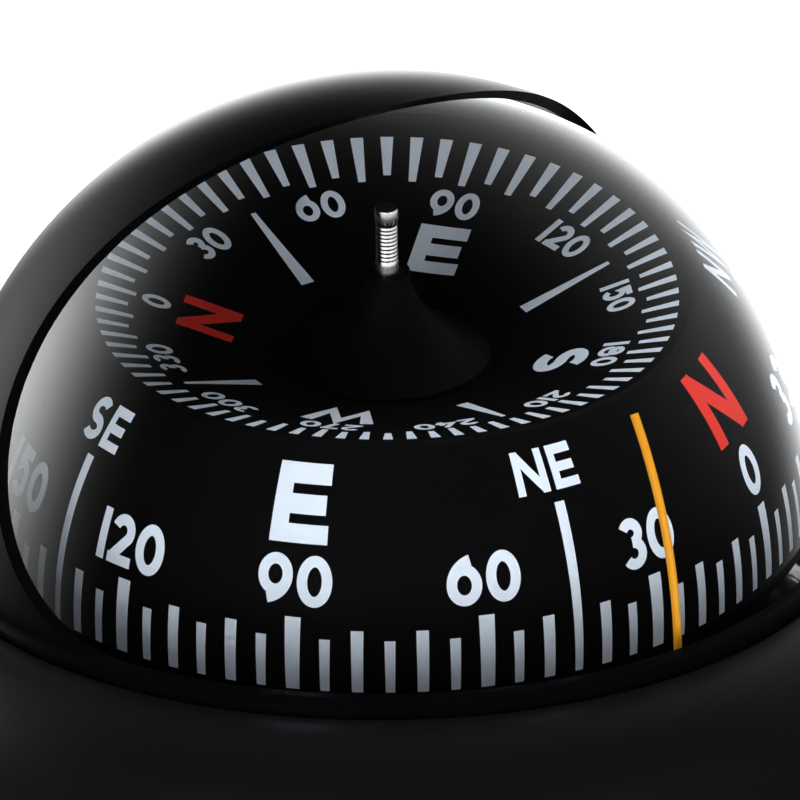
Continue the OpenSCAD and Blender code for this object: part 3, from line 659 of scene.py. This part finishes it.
@dataclass
class Card:
    """The dished card with its oval skirt and printed scales.

    CROWN holds the rim's rounding: how far in from the rim and up from the top each point is.
    """

    CROWN = ((0.08, 0.14), (0.25, 0.25), (0.6, 0.35))

    head: Head
    oval: float = 23.1
    oval_z: float = 0.4
    top: float = 14.6
    wall: float = 0.8
    rim: float = 1.6
    slope: float = 0.27
    hole_r: float = 5.0
    crown_in: float = 0.7
    under: float = 0.4
    ink: float = 0.02

    @property
    def scale_r(self) -> float:
        """Return the radius of the outer end of the top scale."""
        return float(self.skirt_r(self.top)) - self.rim

    def skirt_r(self, height: Array) -> Array:
        """Return the skirt's radius at a height: an oval, r * sqrt(1 - (z / h)^2)."""
        return self.head.card_r / MM * np.sqrt(1 - ((height - self.oval_z) / self.oval) ** 2)

    def dish_z(self, radius: Array) -> Array:
        """Return the dish's height at a radius, a straight slope."""
        return self.top + self.slope * (radius - self.scale_r)

    def build(self, finishes: Finishes) -> None:
        """Make the card and print it."""
        low = self.head.card_low / MM
        rim = float(self.skirt_r(self.top))
        outer = np.linspace(low, self.top, 60)
        inner = np.linspace(self.top - 1.5 * self.wall, low, 40)
        crown = self.scale_r + self.crown_in
        under = rim - self.under
        profile = np.concatenate([
            np.stack([self.skirt_r(outer), outer], axis=1),
            [(rim - inward, self.top + up) for inward, up in self.CROWN],
            [(crown, self.dish_z(crown)), (self.hole_r, self.dish_z(self.hole_r))],
            [(self.hole_r, self.dish_z(self.hole_r) - self.wall), (under, self.dish_z(under) - self.wall)],
            np.stack([self.skirt_r(inner) - self.wall, inner], axis=1),
            [(float(self.skirt_r(low)), low)]])
        grid = revolve(self.head.lift(profile), 360)
        moulding("card_moulding", grid, finishes["card"], "card", "card")
        white = Print(self)
        red = Print(self)
        Scales(white, red).draw()
        for name, ink, finish in (("card_white_print", white, "white"), ("card_red_print", red, "red")):
            ink.patch.build(name, finishes[finish], "card")


@dataclass(frozen=True)
class Bar:
    """A straight mark: where it starts and ends, and its width at each end."""

    low: float
    high: float
    low_w: float
    high_w: float


@dataclass(frozen=True)
class Row:
    """A row of figures: its foot, its height, its hand and the gap as a share of the height."""

    low: float
    height: float
    hand: Hand
    gap: float = 0.09


class Print:
    """One ink on the card."""

    ROW = 0.35

    def __init__(self, card: Card) -> None:
        """Start with nothing printed."""
        self.card = card
        self.patch = Patchwork()

    def _add(self, x: Array, y: Array, z: Array) -> None:
        """Add a grid given in millimetres above the dome's centre."""
        grid = np.stack([x, y, z], axis=2) * MM
        grid[:, :, 2] += self.card.head.centre
        self.patch.add(grid)

    def on_skirt(self, flat: Array, angle: float, level: float) -> None:
        """Wrap a flat grid round the skirt.

        A point (u, v) goes to the angle plus u / r, where r is the skirt's
        radius at the level, and to the height v and the radius there.

        Args:
            flat: Grid of points, in millimetres.
            angle: Angle of the grid's middle, in degrees.
            level: Height at which the grid keeps its width.
        """
        height = flat[:, :, 1]
        turn = np.radians(angle) + flat[:, :, 0] / self.card.skirt_r(level)
        radius = self.card.skirt_r(height) + self.card.ink
        self._add(radius * np.cos(turn), radius * np.sin(turn), height)

    def on_dish(self, flat: Array, angle: float, _level: float) -> None:
        """Lay a flat grid on the dish, with its top outward.

        A point (u, v) goes v out along the angle's direction and u across it,
        clockwise, at the dish's height.

        Args:
            flat: Grid of points, in millimetres.
            angle: Angle of the grid's middle, in degrees.
            _level: Not used, as the dish keeps every width.
        """
        turn = math.radians(angle)
        across, out = flat[:, :, 0], flat[:, :, 1]
        x = out * math.cos(turn) + across * math.sin(turn)
        y = out * math.sin(turn) - across * math.cos(turn)
        self._add(x, y, self.card.dish_z(np.hypot(x, y)) + self.card.ink)

    def bar(self, lay: Lay, angle: float, mark: Bar) -> None:
        """Print a straight bar.

        Args:
            lay: on_skirt or on_dish.
            angle: Angle of the bar, in degrees.
            mark: Its ends and widths.
        """
        low, reach = mark.low, mark.high - mark.low
        rows = np.linspace(0, 1, 4 + int(reach / self.ROW))[:, None]
        across = np.linspace(-0.5, 0.5, 4)[None, :]
        width = mark.low_w + (mark.high_w - mark.low_w) * rows
        flat = np.stack([across * width, low + reach * rows + 0 * across], axis=2)
        lay(flat, angle, (low + mark.high) / 2)

    def words(self, lay: Lay, text: str, angle: float, row: Row) -> None:
        """Print a row of figures, centred on an angle.

        Args:
            lay: on_skirt or on_dish.
            text: The figures.
            angle: Angle of the row's middle, in degrees.
            row: Place and size of the row.
        """
        hand, height = row.hand, row.height
        widths = [hand.width(sign) for sign in text]
        place = -(sum(widths) + row.gap * (len(text) - 1)) / 2
        for sign, width in zip(text, widths):
            for path in hand.strokes(sign):
                flat = ribbon(path, hand.stroke) + np.array([place, 0.0])
                lay(flat * height + np.array([0.0, row.low]), angle, row.low + height / 2)
            place += width + row.gap


@dataclass
class Scales:
    """Both scales of the card, in millimetres and degrees."""

    white: Print
    red: Print
    POINTS = ((0, "N"), (90, "E"), (180, "S"), (270, "W"))
    HALVES = ((46, "NE"), (135, "SE"), (225, "SW"), (316, "NW"))
    FIGURES = Hand(0.212, digit=0.725)
    LETTERS = Hand(0.25, letter=1.03)

    side_long: Bar = Bar(-1.6, 3.8, 0.98, 1.16)
    side_mid: Bar = Bar(-1.6, 3.04, 0.8, 0.9)
    side_short: Bar = Bar(-1.6, 2.32, 0.66, 0.78)
    side_half: Bar = Bar(-1.6, 10.4, 0.6, 0.86)
    side_figures: Row = Row(4.56, 3.52, FIGURES)
    side_letters: Row = Row(8.8, 4.88, LETTERS)
    side_pairs: Row = Row(11.12, 2.64, Hand(0.215, letter=0.92), 0.16)
    dish_inner: tuple[float, float] = (16.65, 17.05)
    dish_width: tuple[float, float] = (0.42, 0.72)
    dish_half: Bar = Bar(9.8, 15.9, 0.9, 0.34)
    dish_figures: Row = Row(14.3, 1.95, FIGURES)
    dish_letters: Row = Row(9.9, 3.75, LETTERS)

    def side_angle(self, bearing: float) -> float:
        """Return the angle of a bearing on the skirt, which is read from behind."""
        return self.top_angle(bearing) - 180.0

    def top_angle(self, bearing: float) -> float:
        """Return the angle of a bearing on the dish."""
        return 90.0 + self.white.card.head.heading - bearing

    def draw(self) -> None:
        """Print every mark."""
        self._side()
        self._top()

    def _side_mark(self, bearing: int) -> Bar:
        """Return the mark that stands at a bearing on the skirt."""
        if bearing % 90 == 45:
            return self.side_half
        if bearing % 10:
            return self.side_short
        return self.side_mid if bearing % 30 else self.side_long

    def _side(self) -> None:
        """Print the skirt."""
        skirt = self.white.on_skirt
        for bearing in range(0, 360, 5):
            self.white.bar(skirt, self.side_angle(bearing), self._side_mark(bearing))
        for bearing in range(0, 360, 30):
            self.white.words(skirt, str(bearing), self.side_angle(bearing), self.side_figures)
        for bearing, name in self.POINTS:
            ink = self.white if bearing else self.red
            ink.words(ink.on_skirt, name, self.side_angle(bearing), self.side_letters)
        for bearing, name in self.HALVES:
            self.white.words(skirt, name, self.side_angle(bearing), self.side_pairs)

    def _top(self) -> None:
        """Print the dish."""
        dish = self.white.on_dish
        marks = [Bar(inner, self.white.card.scale_r, *self.dish_width) for inner in self.dish_inner]
        for bearing in range(0, 360, 5):
            self.white.bar(dish, self.top_angle(bearing), marks[bearing % 10 > 0])
        for bearing in range(0, 360, 30):
            self.white.words(dish, str(bearing), self.top_angle(bearing), self.dish_figures)
        for bearing, name in self.POINTS:
            ink = self.white if bearing else self.red
            ink.words(ink.on_dish, name, self.top_angle(bearing), self.dish_letters)
        for bearing in range(45, 360, 90):
            self.white.bar(dish, self.top_angle(bearing), self.dish_half)


@dataclass
class Sights:
    """The lubber line and the pin on the card's axis."""

    head: Head
    lubber_low: float = -5.4
    lubber_top: float = 32.0
    pin_r: float = 0.8
    pin_low: float = 13.0
    pin_top: float = 23.0
    foot_l: float = 5.4
    cap_l: float = 1.1
    rib_low: float = 5.6
    rib_top: float = 1.3
    rib_depth: float = 0.045
    waist: float = 0.05
    ribs: int = 10

    def build(self, finishes: Finishes) -> None:
        """Make the lubber line and the pin."""
        turn = np.radians(np.linspace(self.lubber_low, self.lubber_top, 90))
        path = np.stack([0 * turn, -np.cos(turn), np.sin(turn)], axis=1) * self.head.lubber_r
        grid = tube(path + np.array([0.0, 0.0, self.head.centre]), self.head.lubber_w / 2)
        ends = [np.repeat(grid[i].mean(axis=0)[None, None], grid.shape[1], axis=1) for i in (0, -1)]
        grid = np.concatenate([ends[0], grid, ends[1]])
        moulding("lubber_wire", grid, finishes["lubber"], "case", "lubber_line")
        self._pin(finishes)

    def _pin(self, finishes: Finishes) -> None:
        """Turn the sighting pin, with a polished cap and foot and a ribbed middle."""
        ribs = np.linspace(self.pin_low + self.rib_low, self.pin_top - self.rib_top, 4 * self.ribs + 1)
        wave = np.cos(np.linspace(0, 2 * self.ribs * np.pi, 4 * self.ribs + 1))
        ripple = self.pin_r - self.waist - self.rib_depth * (1 - wave) / 2
        profile = np.concatenate([
            [(0.0, self.pin_low), (self.pin_r, self.pin_low), (self.pin_r, self.pin_low + self.foot_l)],
            np.stack([ripple, ribs], axis=1),
            [(self.pin_r, self.pin_top - self.cap_l), (self.pin_r, self.pin_top - 0.15)],
            [(self.pin_r - 0.05, self.pin_top - 0.05), (self.pin_r - 0.15, self.pin_top), (0.0, self.pin_top)]])
        grid = revolve(self.head.lift(profile), 48)
        moulding("sighting_pin", grid, finishes["steel"], "card", "sight_pin")


@dataclass
class Hood:
    """The scooped shell round the dome's far side, on its foot ring."""

    head: Head
    gap: float = 0.25
    wall: float = 1.0
    scoop_r: float = 20.3
    scoop_y: float = -17.1
    scoop_z: float = 23.6
    foot_z: float = 3.42
    ring_w: float = 1.75
    ring_top: float = 3.6
    ring_low: float = 0.1
    ring_round: float = 0.9
    ring_break: float = 0.2
    bead: float = 0.45
    bead_z: tuple[float, float] = (0.8, 1.8)
    edge_round: float = 0.2
    weld: float = 2e-6

    def _edge(self, radius: float, count: int) -> Array:
        """Return the scooped edge on a sphere.

        The edge is where the sphere meets a cylinder along X: y and z lie on
        the cylinder's circle, and x = sqrt(r^2 - y^2 - z^2), first on the
        right, then on the left.

        Args:
            radius: Radius of the sphere.
            count: Points on each side.

        Returns:
            Points from the right foot over the top to the left foot.
        """
        reach = math.hypot(self.scoop_y, self.scoop_z)
        meet = (radius ** 2 + reach ** 2 - self.scoop_r ** 2) / (2 * radius * reach)
        crown = math.atan2(self.scoop_z, self.scoop_y) - math.acos(meet)
        top_y, top_z = radius * math.cos(crown), radius * math.sin(crown)
        start = math.asin((self.foot_z - self.scoop_z) / self.scoop_r)
        end = math.atan2(top_z - self.scoop_z, top_y - self.scoop_y)
        share = np.linspace(0.0, 1.0, count)
        turn = start + (end - start) * (1 - (1 - share) ** 2)
        y = self.scoop_y + self.scoop_r * np.cos(turn)
        z = self.scoop_z + self.scoop_r * np.sin(turn)
        x = np.sqrt(np.maximum(radius ** 2 - y ** 2 - z ** 2, 0.0))
        right = np.stack([x, y, z], axis=1)
        left = right[::-1][1:] * np.array([-1.0, 1.0, 1.0])
        return np.concatenate([right, left])

    def _skin(self, radius: float) -> Array:
        """Return the shell's skin: great arcs from the foot circle up to the edge."""
        edge = self._edge(radius, 110)
        first = math.atan2(edge[0, 1], edge[0, 0])
        share = np.linspace(0.0, 1.0, len(edge))
        turn = first + (math.pi - 2 * first) * share
        flat = math.sqrt(radius ** 2 - self.foot_z ** 2)
        foot = np.stack([flat * np.cos(turn), flat * np.sin(turn), 0 * turn + self.foot_z], axis=1)
        rows = np.linspace(0.0, 1.0, 60)[:, None, None]
        skin = foot[None] * (1 - rows) + edge[None] * rows
        skin = skin / np.linalg.norm(skin, axis=2, keepdims=True) * radius
        return skin

    def build(self, finishes: Finishes) -> None:
        """Make the shell and its foot ring."""
        inner_r = self.head.dome_r / MM + self.gap
        outer = self._skin(inner_r + self.wall)
        inner = self._skin(inner_r)
        lift = np.array([0.0, 0.0, self.head.centre])
        patch = Patchwork()
        patch.add(outer * MM + lift)
        patch.add(inner[:, ::-1] * MM + lift)
        patch.add(np.stack([outer[-1], inner[-1]]) * MM + lift)
        patch.add(np.stack([inner[0], outer[0]]) * MM + lift)
        shell = patch.build("hood_shell", finishes["hood"], "hood", self.weld)
        bevel = shell.modifiers.new("edge", "BEVEL")
        bevel.width = self.edge_round * MM
        bevel.segments = 3
        bevel.limit_method = "ANGLE"
        bevel.angle_limit = math.radians(50)
        shell.visible_glossy = False
        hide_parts("hood")
        self._ring(inner_r, finishes)

    def _ring(self, inner_r: float, finishes: Finishes) -> None:
        """Turn the foot ring, rounded at its outer edge, with its bead."""
        out = inner_r + self.ring_w
        low, high = self.bead_z
        profile = np.concatenate([
            [(inner_r, self.ring_low), (out, self.ring_low)],
            [(out, low), (out + self.bead, low), (out + self.bead, high), (out, high)],
            arc((out - self.ring_round, self.ring_top - self.ring_round), self.ring_round, 0, 90, 10),
            [(inner_r + self.ring_break, self.ring_top), (inner_r, self.ring_top - self.ring_break)],
            [(inner_r, self.ring_low)]])
        grid = revolve(self.head.lift(profile), 300)
        moulding("hood_foot_ring", grid, finishes["hood"], "hood")


@dataclass
class Bezel:
    """The bezel ring with its channel for the hood and its round shoulder."""

    head: Head
    bore: float = 44.5
    wall: float = 5.0
    lip: float = 40.25
    channel: float = 42.08
    bead: float = 0.45
    top: float = 2.4
    bead_z: tuple[float, float] = (0.7, 1.9)
    land: float = 1.1
    lip_drop: float = 0.9
    edge: float = 0.15
    drop: float = 8.0

    def build(self, finishes: Finishes) -> None:
        """Make the bezel."""
        out = self.bore + self.wall
        round_r = out - self.channel - self.land
        low, high = self.bead_z
        groove = self.channel + self.bead
        profile = np.concatenate([
            [(self.bore, -self.drop), (self.bore, -self.lip_drop), (self.lip, -self.lip_drop)],
            [(self.lip, 0.0), (self.channel, 0.0)],
            [(self.channel, low), (groove, low), (groove, high), (self.channel, high)],
            [(self.channel, self.top - self.edge), (self.channel + self.edge, self.top)],
            arc((self.channel + self.land, self.top - round_r), round_r, 90, 0, 40),
            [(out, -self.drop), (self.bore, -self.drop)]])
        grid = revolve(self.head.lift(profile), 360)
        moulding("bezel_moulding", grid, finishes["bezel"], "case", "bezel_ring")


@dataclass
class Sleeve:
    """The rubber grip sleeve, with hollows for the fingers and fine grooves for the palm."""

    wall: float = 2.0
    bulge: float = 3.0
    bore: float = 15.05
    edge: float = 1.5
    fingers: int = 3
    pitch: float = 18.0
    finger_r: float = 12.0
    finger_depth: float = 2.4
    groove: float = 0.35
    groove_pitch: float = 2.4
    margin: float = 4.0
    palm: float = 0.35
    swell: float = 8.0
    sides: int = 240
    row: float = 0.15

    def _hollows(self, height: Array, middle: float) -> Array:
        """Return how far out the finger side may reach at each height.

        Each hollow is a circle of radius r round (c, h) in the plane of y and
        z, so the surface stays at y <= c - sqrt(r^2 - (z - h)^2).

        Args:
            height: Heights of the surface's rows.
            middle: Height of the middle hollow.

        Returns:
            The greatest y at each height.
        """
        centre = self.bore + self.wall + self.bulge + self.finger_r - self.finger_depth
        limit = np.full_like(height, np.inf)
        for i in range(self.fingers):
            offset = height - middle - (i - (self.fingers - 1) / 2) * self.pitch
            inside = np.abs(offset) < self.finger_r
            reach = centre - np.sqrt(np.where(inside, self.finger_r ** 2 - offset ** 2, 0.0))
            limit = np.where(inside, np.minimum(limit, reach), limit)
        return limit

    def build(self, finishes: Finishes) -> None:
        """Make the sleeve.

        The radius at height z is the outer wall, less the rounded edge's
        inset, less a groove of depth * (0.5 - 0.5 cos(2 pi z / pitch))^3 on
        the palm's side. The finger side stands out by the bulge, as far as
        the hollows let it.
        """
        low, high = (corner[2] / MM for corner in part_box("grip_sleeve"))
        turn = np.linspace(0.0, 2 * np.pi, self.sides, endpoint=False)
        cos, sin = np.cos(turn)[None, :], np.sin(turn)[None, :]
        edge = self.edge * (1 - np.cos(np.linspace(0, np.pi / 2, 8)))
        middle = np.arange(low + self.edge, high - self.edge, self.row)
        height = np.concatenate([low + edge[:-1], middle, high - edge[::-1]])
        reach = np.minimum(np.minimum(height - low, high - height), self.edge)[:, None]
        inset = self.edge - np.sqrt(np.maximum(self.edge ** 2 - (self.edge - reach) ** 2, 0.0))
        wave = (0.5 - 0.5 * np.cos(2 * np.pi * (height - low) / self.groove_pitch)) ** 3
        wave *= (height > low + self.margin) & (height < high - self.margin)
        palm = np.clip(self.palm - sin, 0.0, 0.5) * 2
        radius = self.bore + self.wall - inset - self.groove * wave[:, None] * palm
        x = radius * cos
        y = radius * sin + self.bulge * np.clip(sin * self.swell, 0.0, 1.0)
        y = np.minimum(y, self._hollows(height, (low + high) / 2)[:, None] - inset)
        z = height[:, None] + 0 * x
        skin = np.stack([x, y, z], axis=2)
        ends = [np.stack([self.bore * cos[0], self.bore * sin[0], 0 * turn + level], axis=1)[None]
                for level in (low, high, low)]
        grid = np.concatenate([ends[0], skin, ends[1], ends[2]]) * MM
        moulding("grip_moulding", grid, finishes["grip"], "case", "grip_sleeve")


@dataclass
class Button:
    """The light button, with a rounded edge and a dished face."""

    radius: float = 5.0
    flange: float = 1.2
    flange_t: float = 0.8
    seat: float = 13.1
    stem: float = 1.5
    edge: float = 0.7
    land: float = 1.4
    dish: float = 0.35

    def build(self, finishes: Finishes) -> None:
        """Turn the button about its own axis, then lay it along Y."""
        low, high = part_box("light_button")
        face, end = -low[1] / MM, -high[1] / MM
        hollow = np.linspace(0.0, self.radius - self.land, 12)
        profile = np.concatenate([
            np.stack([hollow, face - self.dish * np.cos(hollow / hollow[-1] * np.pi / 2)], axis=1),
            arc((self.radius - self.edge, face - self.edge), self.edge, 90, 0, 8),
            [(self.radius, self.seat), (self.radius + self.flange, self.seat)],
            [(self.radius + self.flange, self.seat - self.flange_t), (self.stem, self.seat - self.flange_t)],
            [(self.stem, end), (0.0, end)]])
        grid = revolve(profile, 72)
        middle = (low[2] + high[2]) / 2
        laid = np.stack([grid[:, :, 0] * MM, -grid[:, :, 2] * MM, grid[:, :, 1] * MM + middle], axis=2)
        moulding("light_button_cap", laid, finishes["button"], "light_button", "light_button")


class Dressing:
    """Gives every other CAD solid its finish."""

    CREASE = 28.0
    COPIES = {
        "handle_left": "case", "handle_right": "case", "battery_cap": "case", "card_hub": "card",
        "counterweight": "brass", "bowl": "dark",
    }
    PLAIN = {
        "handle_screws": "steel", "bezel_screws": "steel", "dome_gasket": "seal", "gimbal_pivots": "brass",
        "diaphragm": "seal", "diaphragm_clamp": "dark", "filler_plug": "steel", "lamp_window": "window",
        "lamp": "lamp", "lamp_board": "board", "contact_strips": "brass", "contact_holder": "pale",
        "contact_plate": "brass", "battery_tube": "dark", "batteries": "wrap", "light_switch": "dark",
        "cap_contact": "brass", "cap_seal": "seal", "gimbal_ring": "frame", "ring_pivots": "brass",
        "yoke": "frame", "pivot_post": "steel", "card_float": "foam", "card_magnets": "magnet", "jewel": "jewel",
    }

    def __init__(self, frame: dict, finishes: Finishes) -> None:
        """Keep the frame and the finishes."""
        self.frame = frame
        self.finishes = finishes
        slots = frame["record"]["subparts"]
        self.slots = {entry["node"]: entry["material_slot"] for entry in slots}
        bodies = frame["record"]["behaviour"]["bodies"]
        self.bodies = {node: body for body, nodes in bodies.items() for node in nodes}

    def build(self) -> None:
        """Smooth the visible solids and dress the rest."""
        for node, finish in self.COPIES.items():
            self._smooth(node, finish)
        for node, finish in self.PLAIN.items():
            mesh = bpy.data.objects[node].data
            mesh.materials.clear()
            mesh.materials.append(self.finishes[finish])

    def _smooth(self, node: str, finish: str) -> None:
        """Stand a merged, smooth copy in for a CAD solid.

        Args:
            node: Name of the solid.
            finish: Name of its finish.
        """
        mesh = bpy.data.objects[node].data.copy()
        work = bmesh.new()
        work.from_mesh(mesh)
        bmesh.ops.remove_doubles(work, verts=work.verts, dist=SOLID_WELD)
        work.to_mesh(mesh)
        work.free()
        piece = finish_object(f"{node}_body", mesh, self.finishes[finish], self.bodies[node], self.CREASE)
        self.slots[node]
        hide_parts(node)


# ---------------------------------------------------------------------- studio


@dataclass(frozen=True)
class Box:
    """One soft box, placed round the dome; a grip box lights the grip alone, so that the dome doesn't mirror it."""

    name: str
    azimuth: float
    elevation: float
    distance: float
    size: float
    power: float
    grip: bool = False


@dataclass(frozen=True)
class Glow:
    """A soft bright patch that only glossy rays see, by its angles to the right of and above the way ahead."""

    side: float
    rise: float
    strength: float
    tightness: float


@dataclass
class Studio:
    """Pale floor, soft lamps and the camera."""

    HAND_HELD = ("handle_left_body", "handle_right_body", "grip_moulding", "light_button_cap", "battery_cap_body",
                 "handle_screws", "bezel_screws")

    head: Head
    distance: float = 5.0309
    elevation: float = 23.999
    azimuth: float = -36.0
    turns: tuple[float, float, float] = (-0.0053, 0.0544, 0.0115)
    focal_px: float = 2161.9
    frame_px: float = 800.0
    sensor: float = 36.0
    clip: float = 0.01
    paper: tuple[float, float] = (0.12, 0.7)
    floor_z: float = -0.0002
    floor_r: tuple[float, float] = (0.3, 6.0)
    sky_colour: Colour = (0.97, 0.985, 1.0)
    ambient: float = 0.06
    gloom: float = 0.01
    glows: tuple[Glow, ...] = (
        Glow(14.0, 14.0, 1.3, 10.0),
        Glow(-8.0, 24.0, 4.5, 50.0),
        Glow(-64.0, 18.0, 5.0, 13.0),
        Glow(38.0, 12.0, 3.8, 30.0),
        Glow(22.0, 24.0, 0.9, 30.0),
        Glow(52.0, 38.0, 0.5, 6.0),
    )
    boxes: tuple[Box, ...] = (
        Box("key_box", -30, 85, 0.8, 0.3, 0.6),
        Box("fill_box", -40, 40, 0.9, 0.5, 0.3),
        Box("front_left_box", -58, 4, 0.8, 0.34, 3.1),
        Box("front_right_box", 8, 3, 0.8, 0.34, 1.8),
        Box("left_box", -165, 20, 0.8, 0.4, 0.9),
        Box("right_box", 100, 20, 0.8, 0.4, 1.2),
        *(Box(f"grip_box_{turn}", turn, -2, 0.7, 0.34, 2.2, grip=True) for turn in (-126, -6, 84, 174)),
    )
    grip_share: float = 0.45
    floor_box: Box = Box("floor_box", 144, 0, 0.9, 1.6, 20.0)
    floor_box_z: float = 1.2

    def build(self) -> None:
        """Set the floor, the lamps, the sky and the camera."""
        bpy.context.scene.view_settings.view_transform = "Standard"
        self._floor()
        self._sky()
        self._lamps()
        self._camera()

    def _aim(self, azimuth: float, elevation: float, distance: float) -> tuple[Vector, Vector]:
        """Return a place round the dome and the way from it to the dome.

        Args:
            azimuth: Degrees round from the reader's side, towards +X.
            elevation: Degrees above the level.
            distance: Distance in metres.

        Returns:
            The place and the unit direction.
        """
        turn, rise = math.radians(azimuth - 90), math.radians(elevation)
        out = Vector((math.cos(turn) * math.cos(rise), math.sin(turn) * math.cos(rise), math.sin(rise)))
        return Vector((0, 0, self.head.centre)) + out * distance, -out

    def _axes(self) -> tuple[Vector, Vector, Vector]:
        """Return the ways to the right, up and ahead of someone who looks at the dome's centre."""
        ahead = self._aim(self.azimuth, self.elevation, 1.0)[1]
        right = ahead.cross(Vector((0, 0, 1))).normalized()
        return right, right.cross(ahead), ahead

    def _camera(self) -> None:
        """Place the camera: aim at the dome's centre, then yaw, pitch and roll."""
        place = self._aim(self.azimuth, self.elevation, self.distance * self.head.dome_r)[0]
        right, up, ahead = self._axes()
        yaw, pitch, roll = self.turns
        turned = Matrix.Rotation(yaw, 3, up)
        ahead, right = turned @ ahead, turned @ right
        tilted = Matrix.Rotation(pitch, 3, right)
        ahead, up = tilted @ ahead, tilted @ up
        rolled = Matrix.Rotation(roll, 3, ahead)
        right, up = rolled @ right, rolled @ up
        data = bpy.data.cameras.new("view")
        data.sensor_width = self.sensor
        data.lens = self.focal_px / self.frame_px * self.sensor
        data.clip_start = self.clip
        camera = bpy.data.objects.new("view", data)
        axes = Matrix((right, up, -ahead)).transposed().to_4x4()
        camera.matrix_world = Matrix.Translation(place) @ axes
        bpy.context.scene.collection.objects.link(camera)
        bpy.context.scene.camera = camera

    def _floor(self) -> None:
        """Lay a wide pale floor."""
        patch = Patchwork()
        rings = np.array([(radius, self.floor_z) for radius in (0.0, *self.floor_r)])
        patch.add(revolve(rings, 64)[:, ::-1], wrap=True)
        mesh = bpy.data.meshes.new("floor")
        mesh.from_pydata(np.concatenate(patch.points), [], np.concatenate(patch.quads))
        floor = bpy.data.objects.new("floor", mesh)
        bpy.context.scene.collection.objects.link(floor)
        floor.data.materials.append(self._floor_finish())
        floor.visible_glossy = False

    def _floor_finish(self) -> bpy.types.Material:
        """Return a pale paper that is lit by the lamps near the compass and glows white further out."""
        graph = Graph.material("floor_pale")
        reach = graph.node("ShaderNodeVectorMath", {"operation": "LENGTH"}, {0: graph.place()})
        far = graph.node("ShaderNodeMapRange", {"interpolation_type": "SMOOTHSTEP"}, {
            "Value": reach.outputs["Value"], "From Min": self.paper[0], "From Max": self.paper[1]})
        grain = graph.noise(300.0)
        paper = graph.tint(grain, (0.85, 0.86, 0.87), (0.87, 0.88, 0.89))
        glow = graph.tint(Term(graph, far.outputs["Result"]), (0.12, 0.12, 0.12), (1.0, 1.0, 1.0))
        shader = graph.node("ShaderNodeBsdfPrincipled", {}, {
            "Base Color": paper, "Roughness": 0.9, "Specular IOR Level": 0.1,
            "Emission Color": glow, "Emission Strength": 1.0})
        return graph.finish(shader)

    def _sky(self) -> None:
        """Light everything from a sky that is white to look at, dim to matt faces and patterned to glossy ones.

        A glossy ray along d sees the sum of the glows, each
        strength * max(0, d . axis) ^ tightness.
        """
        graph = Graph(bpy.data.worlds.new("sky"), "ShaderNodeOutputWorld")
        way = graph.node("ShaderNodeTexCoord", {}, {}).outputs["Generated"]
        right, up, ahead = self._axes()
        glow: Term | float = self.gloom
        for patch in self.glows:
            turn, tilt = math.radians(patch.side), math.radians(patch.rise)
            axis = (ahead * math.cos(turn) + right * math.sin(turn)) * math.cos(tilt) + up * math.sin(tilt)
            dot = graph.node("ShaderNodeVectorMath", {"operation": "DOT_PRODUCT"}, {0: way, 1: tuple(axis)})
            glow = Term(graph, dot.outputs["Value"]) ** patch.tightness * patch.strength + glow
        path = graph.node("ShaderNodeLightPath", {}, {})
        seen, glossy = (Term(graph, path.outputs[name]) for name in ("Is Camera Ray", "Is Glossy Ray"))
        strength = seen * (1.0 - self.ambient) + glossy * (glow - self.ambient) + self.ambient
        shader = graph.node("ShaderNodeBackground", {}, {"Color": (*self.sky_colour, 1.0), "Strength": strength})
        bpy.context.scene.world = graph.finish(shader)

    def _lamps(self) -> None:
        """Hang the soft boxes, each aimed at the head, at the grip or at the floor behind."""
        head = Vector((0, 0, self.head.centre))
        hand_held = bpy.data.collections.new("hand_held")
        for name in self.HAND_HELD:
            hand_held.objects.link(bpy.data.objects[name])
        for box in self.boxes:
            place = self._aim(box.azimuth, box.elevation, box.distance)[0]
            lamp = self._hang(box, place, head * self.grip_share if box.grip else head)
            if box.grip:
                lamp.light_linking.receiver_collection = hand_held
        box = self.floor_box
        behind = self._aim(box.azimuth, box.elevation, box.distance)[0]
        self._hang(box, Vector((behind.x, behind.y, self.floor_box_z)), Vector((behind.x, behind.y, 0.0)))

    def _hang(self, box: Box, place: Vector, target: Vector) -> bpy.types.Object:
        """Hang one soft box.

        Args:
            box: The soft box.
            place: Where it hangs.
            target: What it faces.

        Returns:
            The lamp.
        """
        data = bpy.data.lights.new(box.name, "AREA")
        data.energy = box.power
        data.shape = "SQUARE"
        data.size = box.size
        lamp = bpy.data.objects.new(box.name, data)
        lamp.location = place
        lamp.rotation_euler = (target - place).to_track_quat("-Z", "Y").to_euler()
        lamp.visible_camera = False
        lamp.visible_glossy = box.grip
        bpy.context.scene.collection.objects.link(lamp)
        return lamp


def main() -> None:
    """Build the compass and its studio."""
    logging.basicConfig(level=logging.INFO, format="%(name)s: %(message)s")
    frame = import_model()
    finishes = Finishes()
    head = Head.from_frame(frame)
    for part in (Dome(head), Card(head), Sights(head), Hood(head), Bezel(head), Sleeve(), Button()):
        part.build(finishes)
        LOG.info("%s built", type(part).__name__)
    Dressing(frame, finishes).build()
    Studio(head).build()


if __name__ == "__main__":
    main()
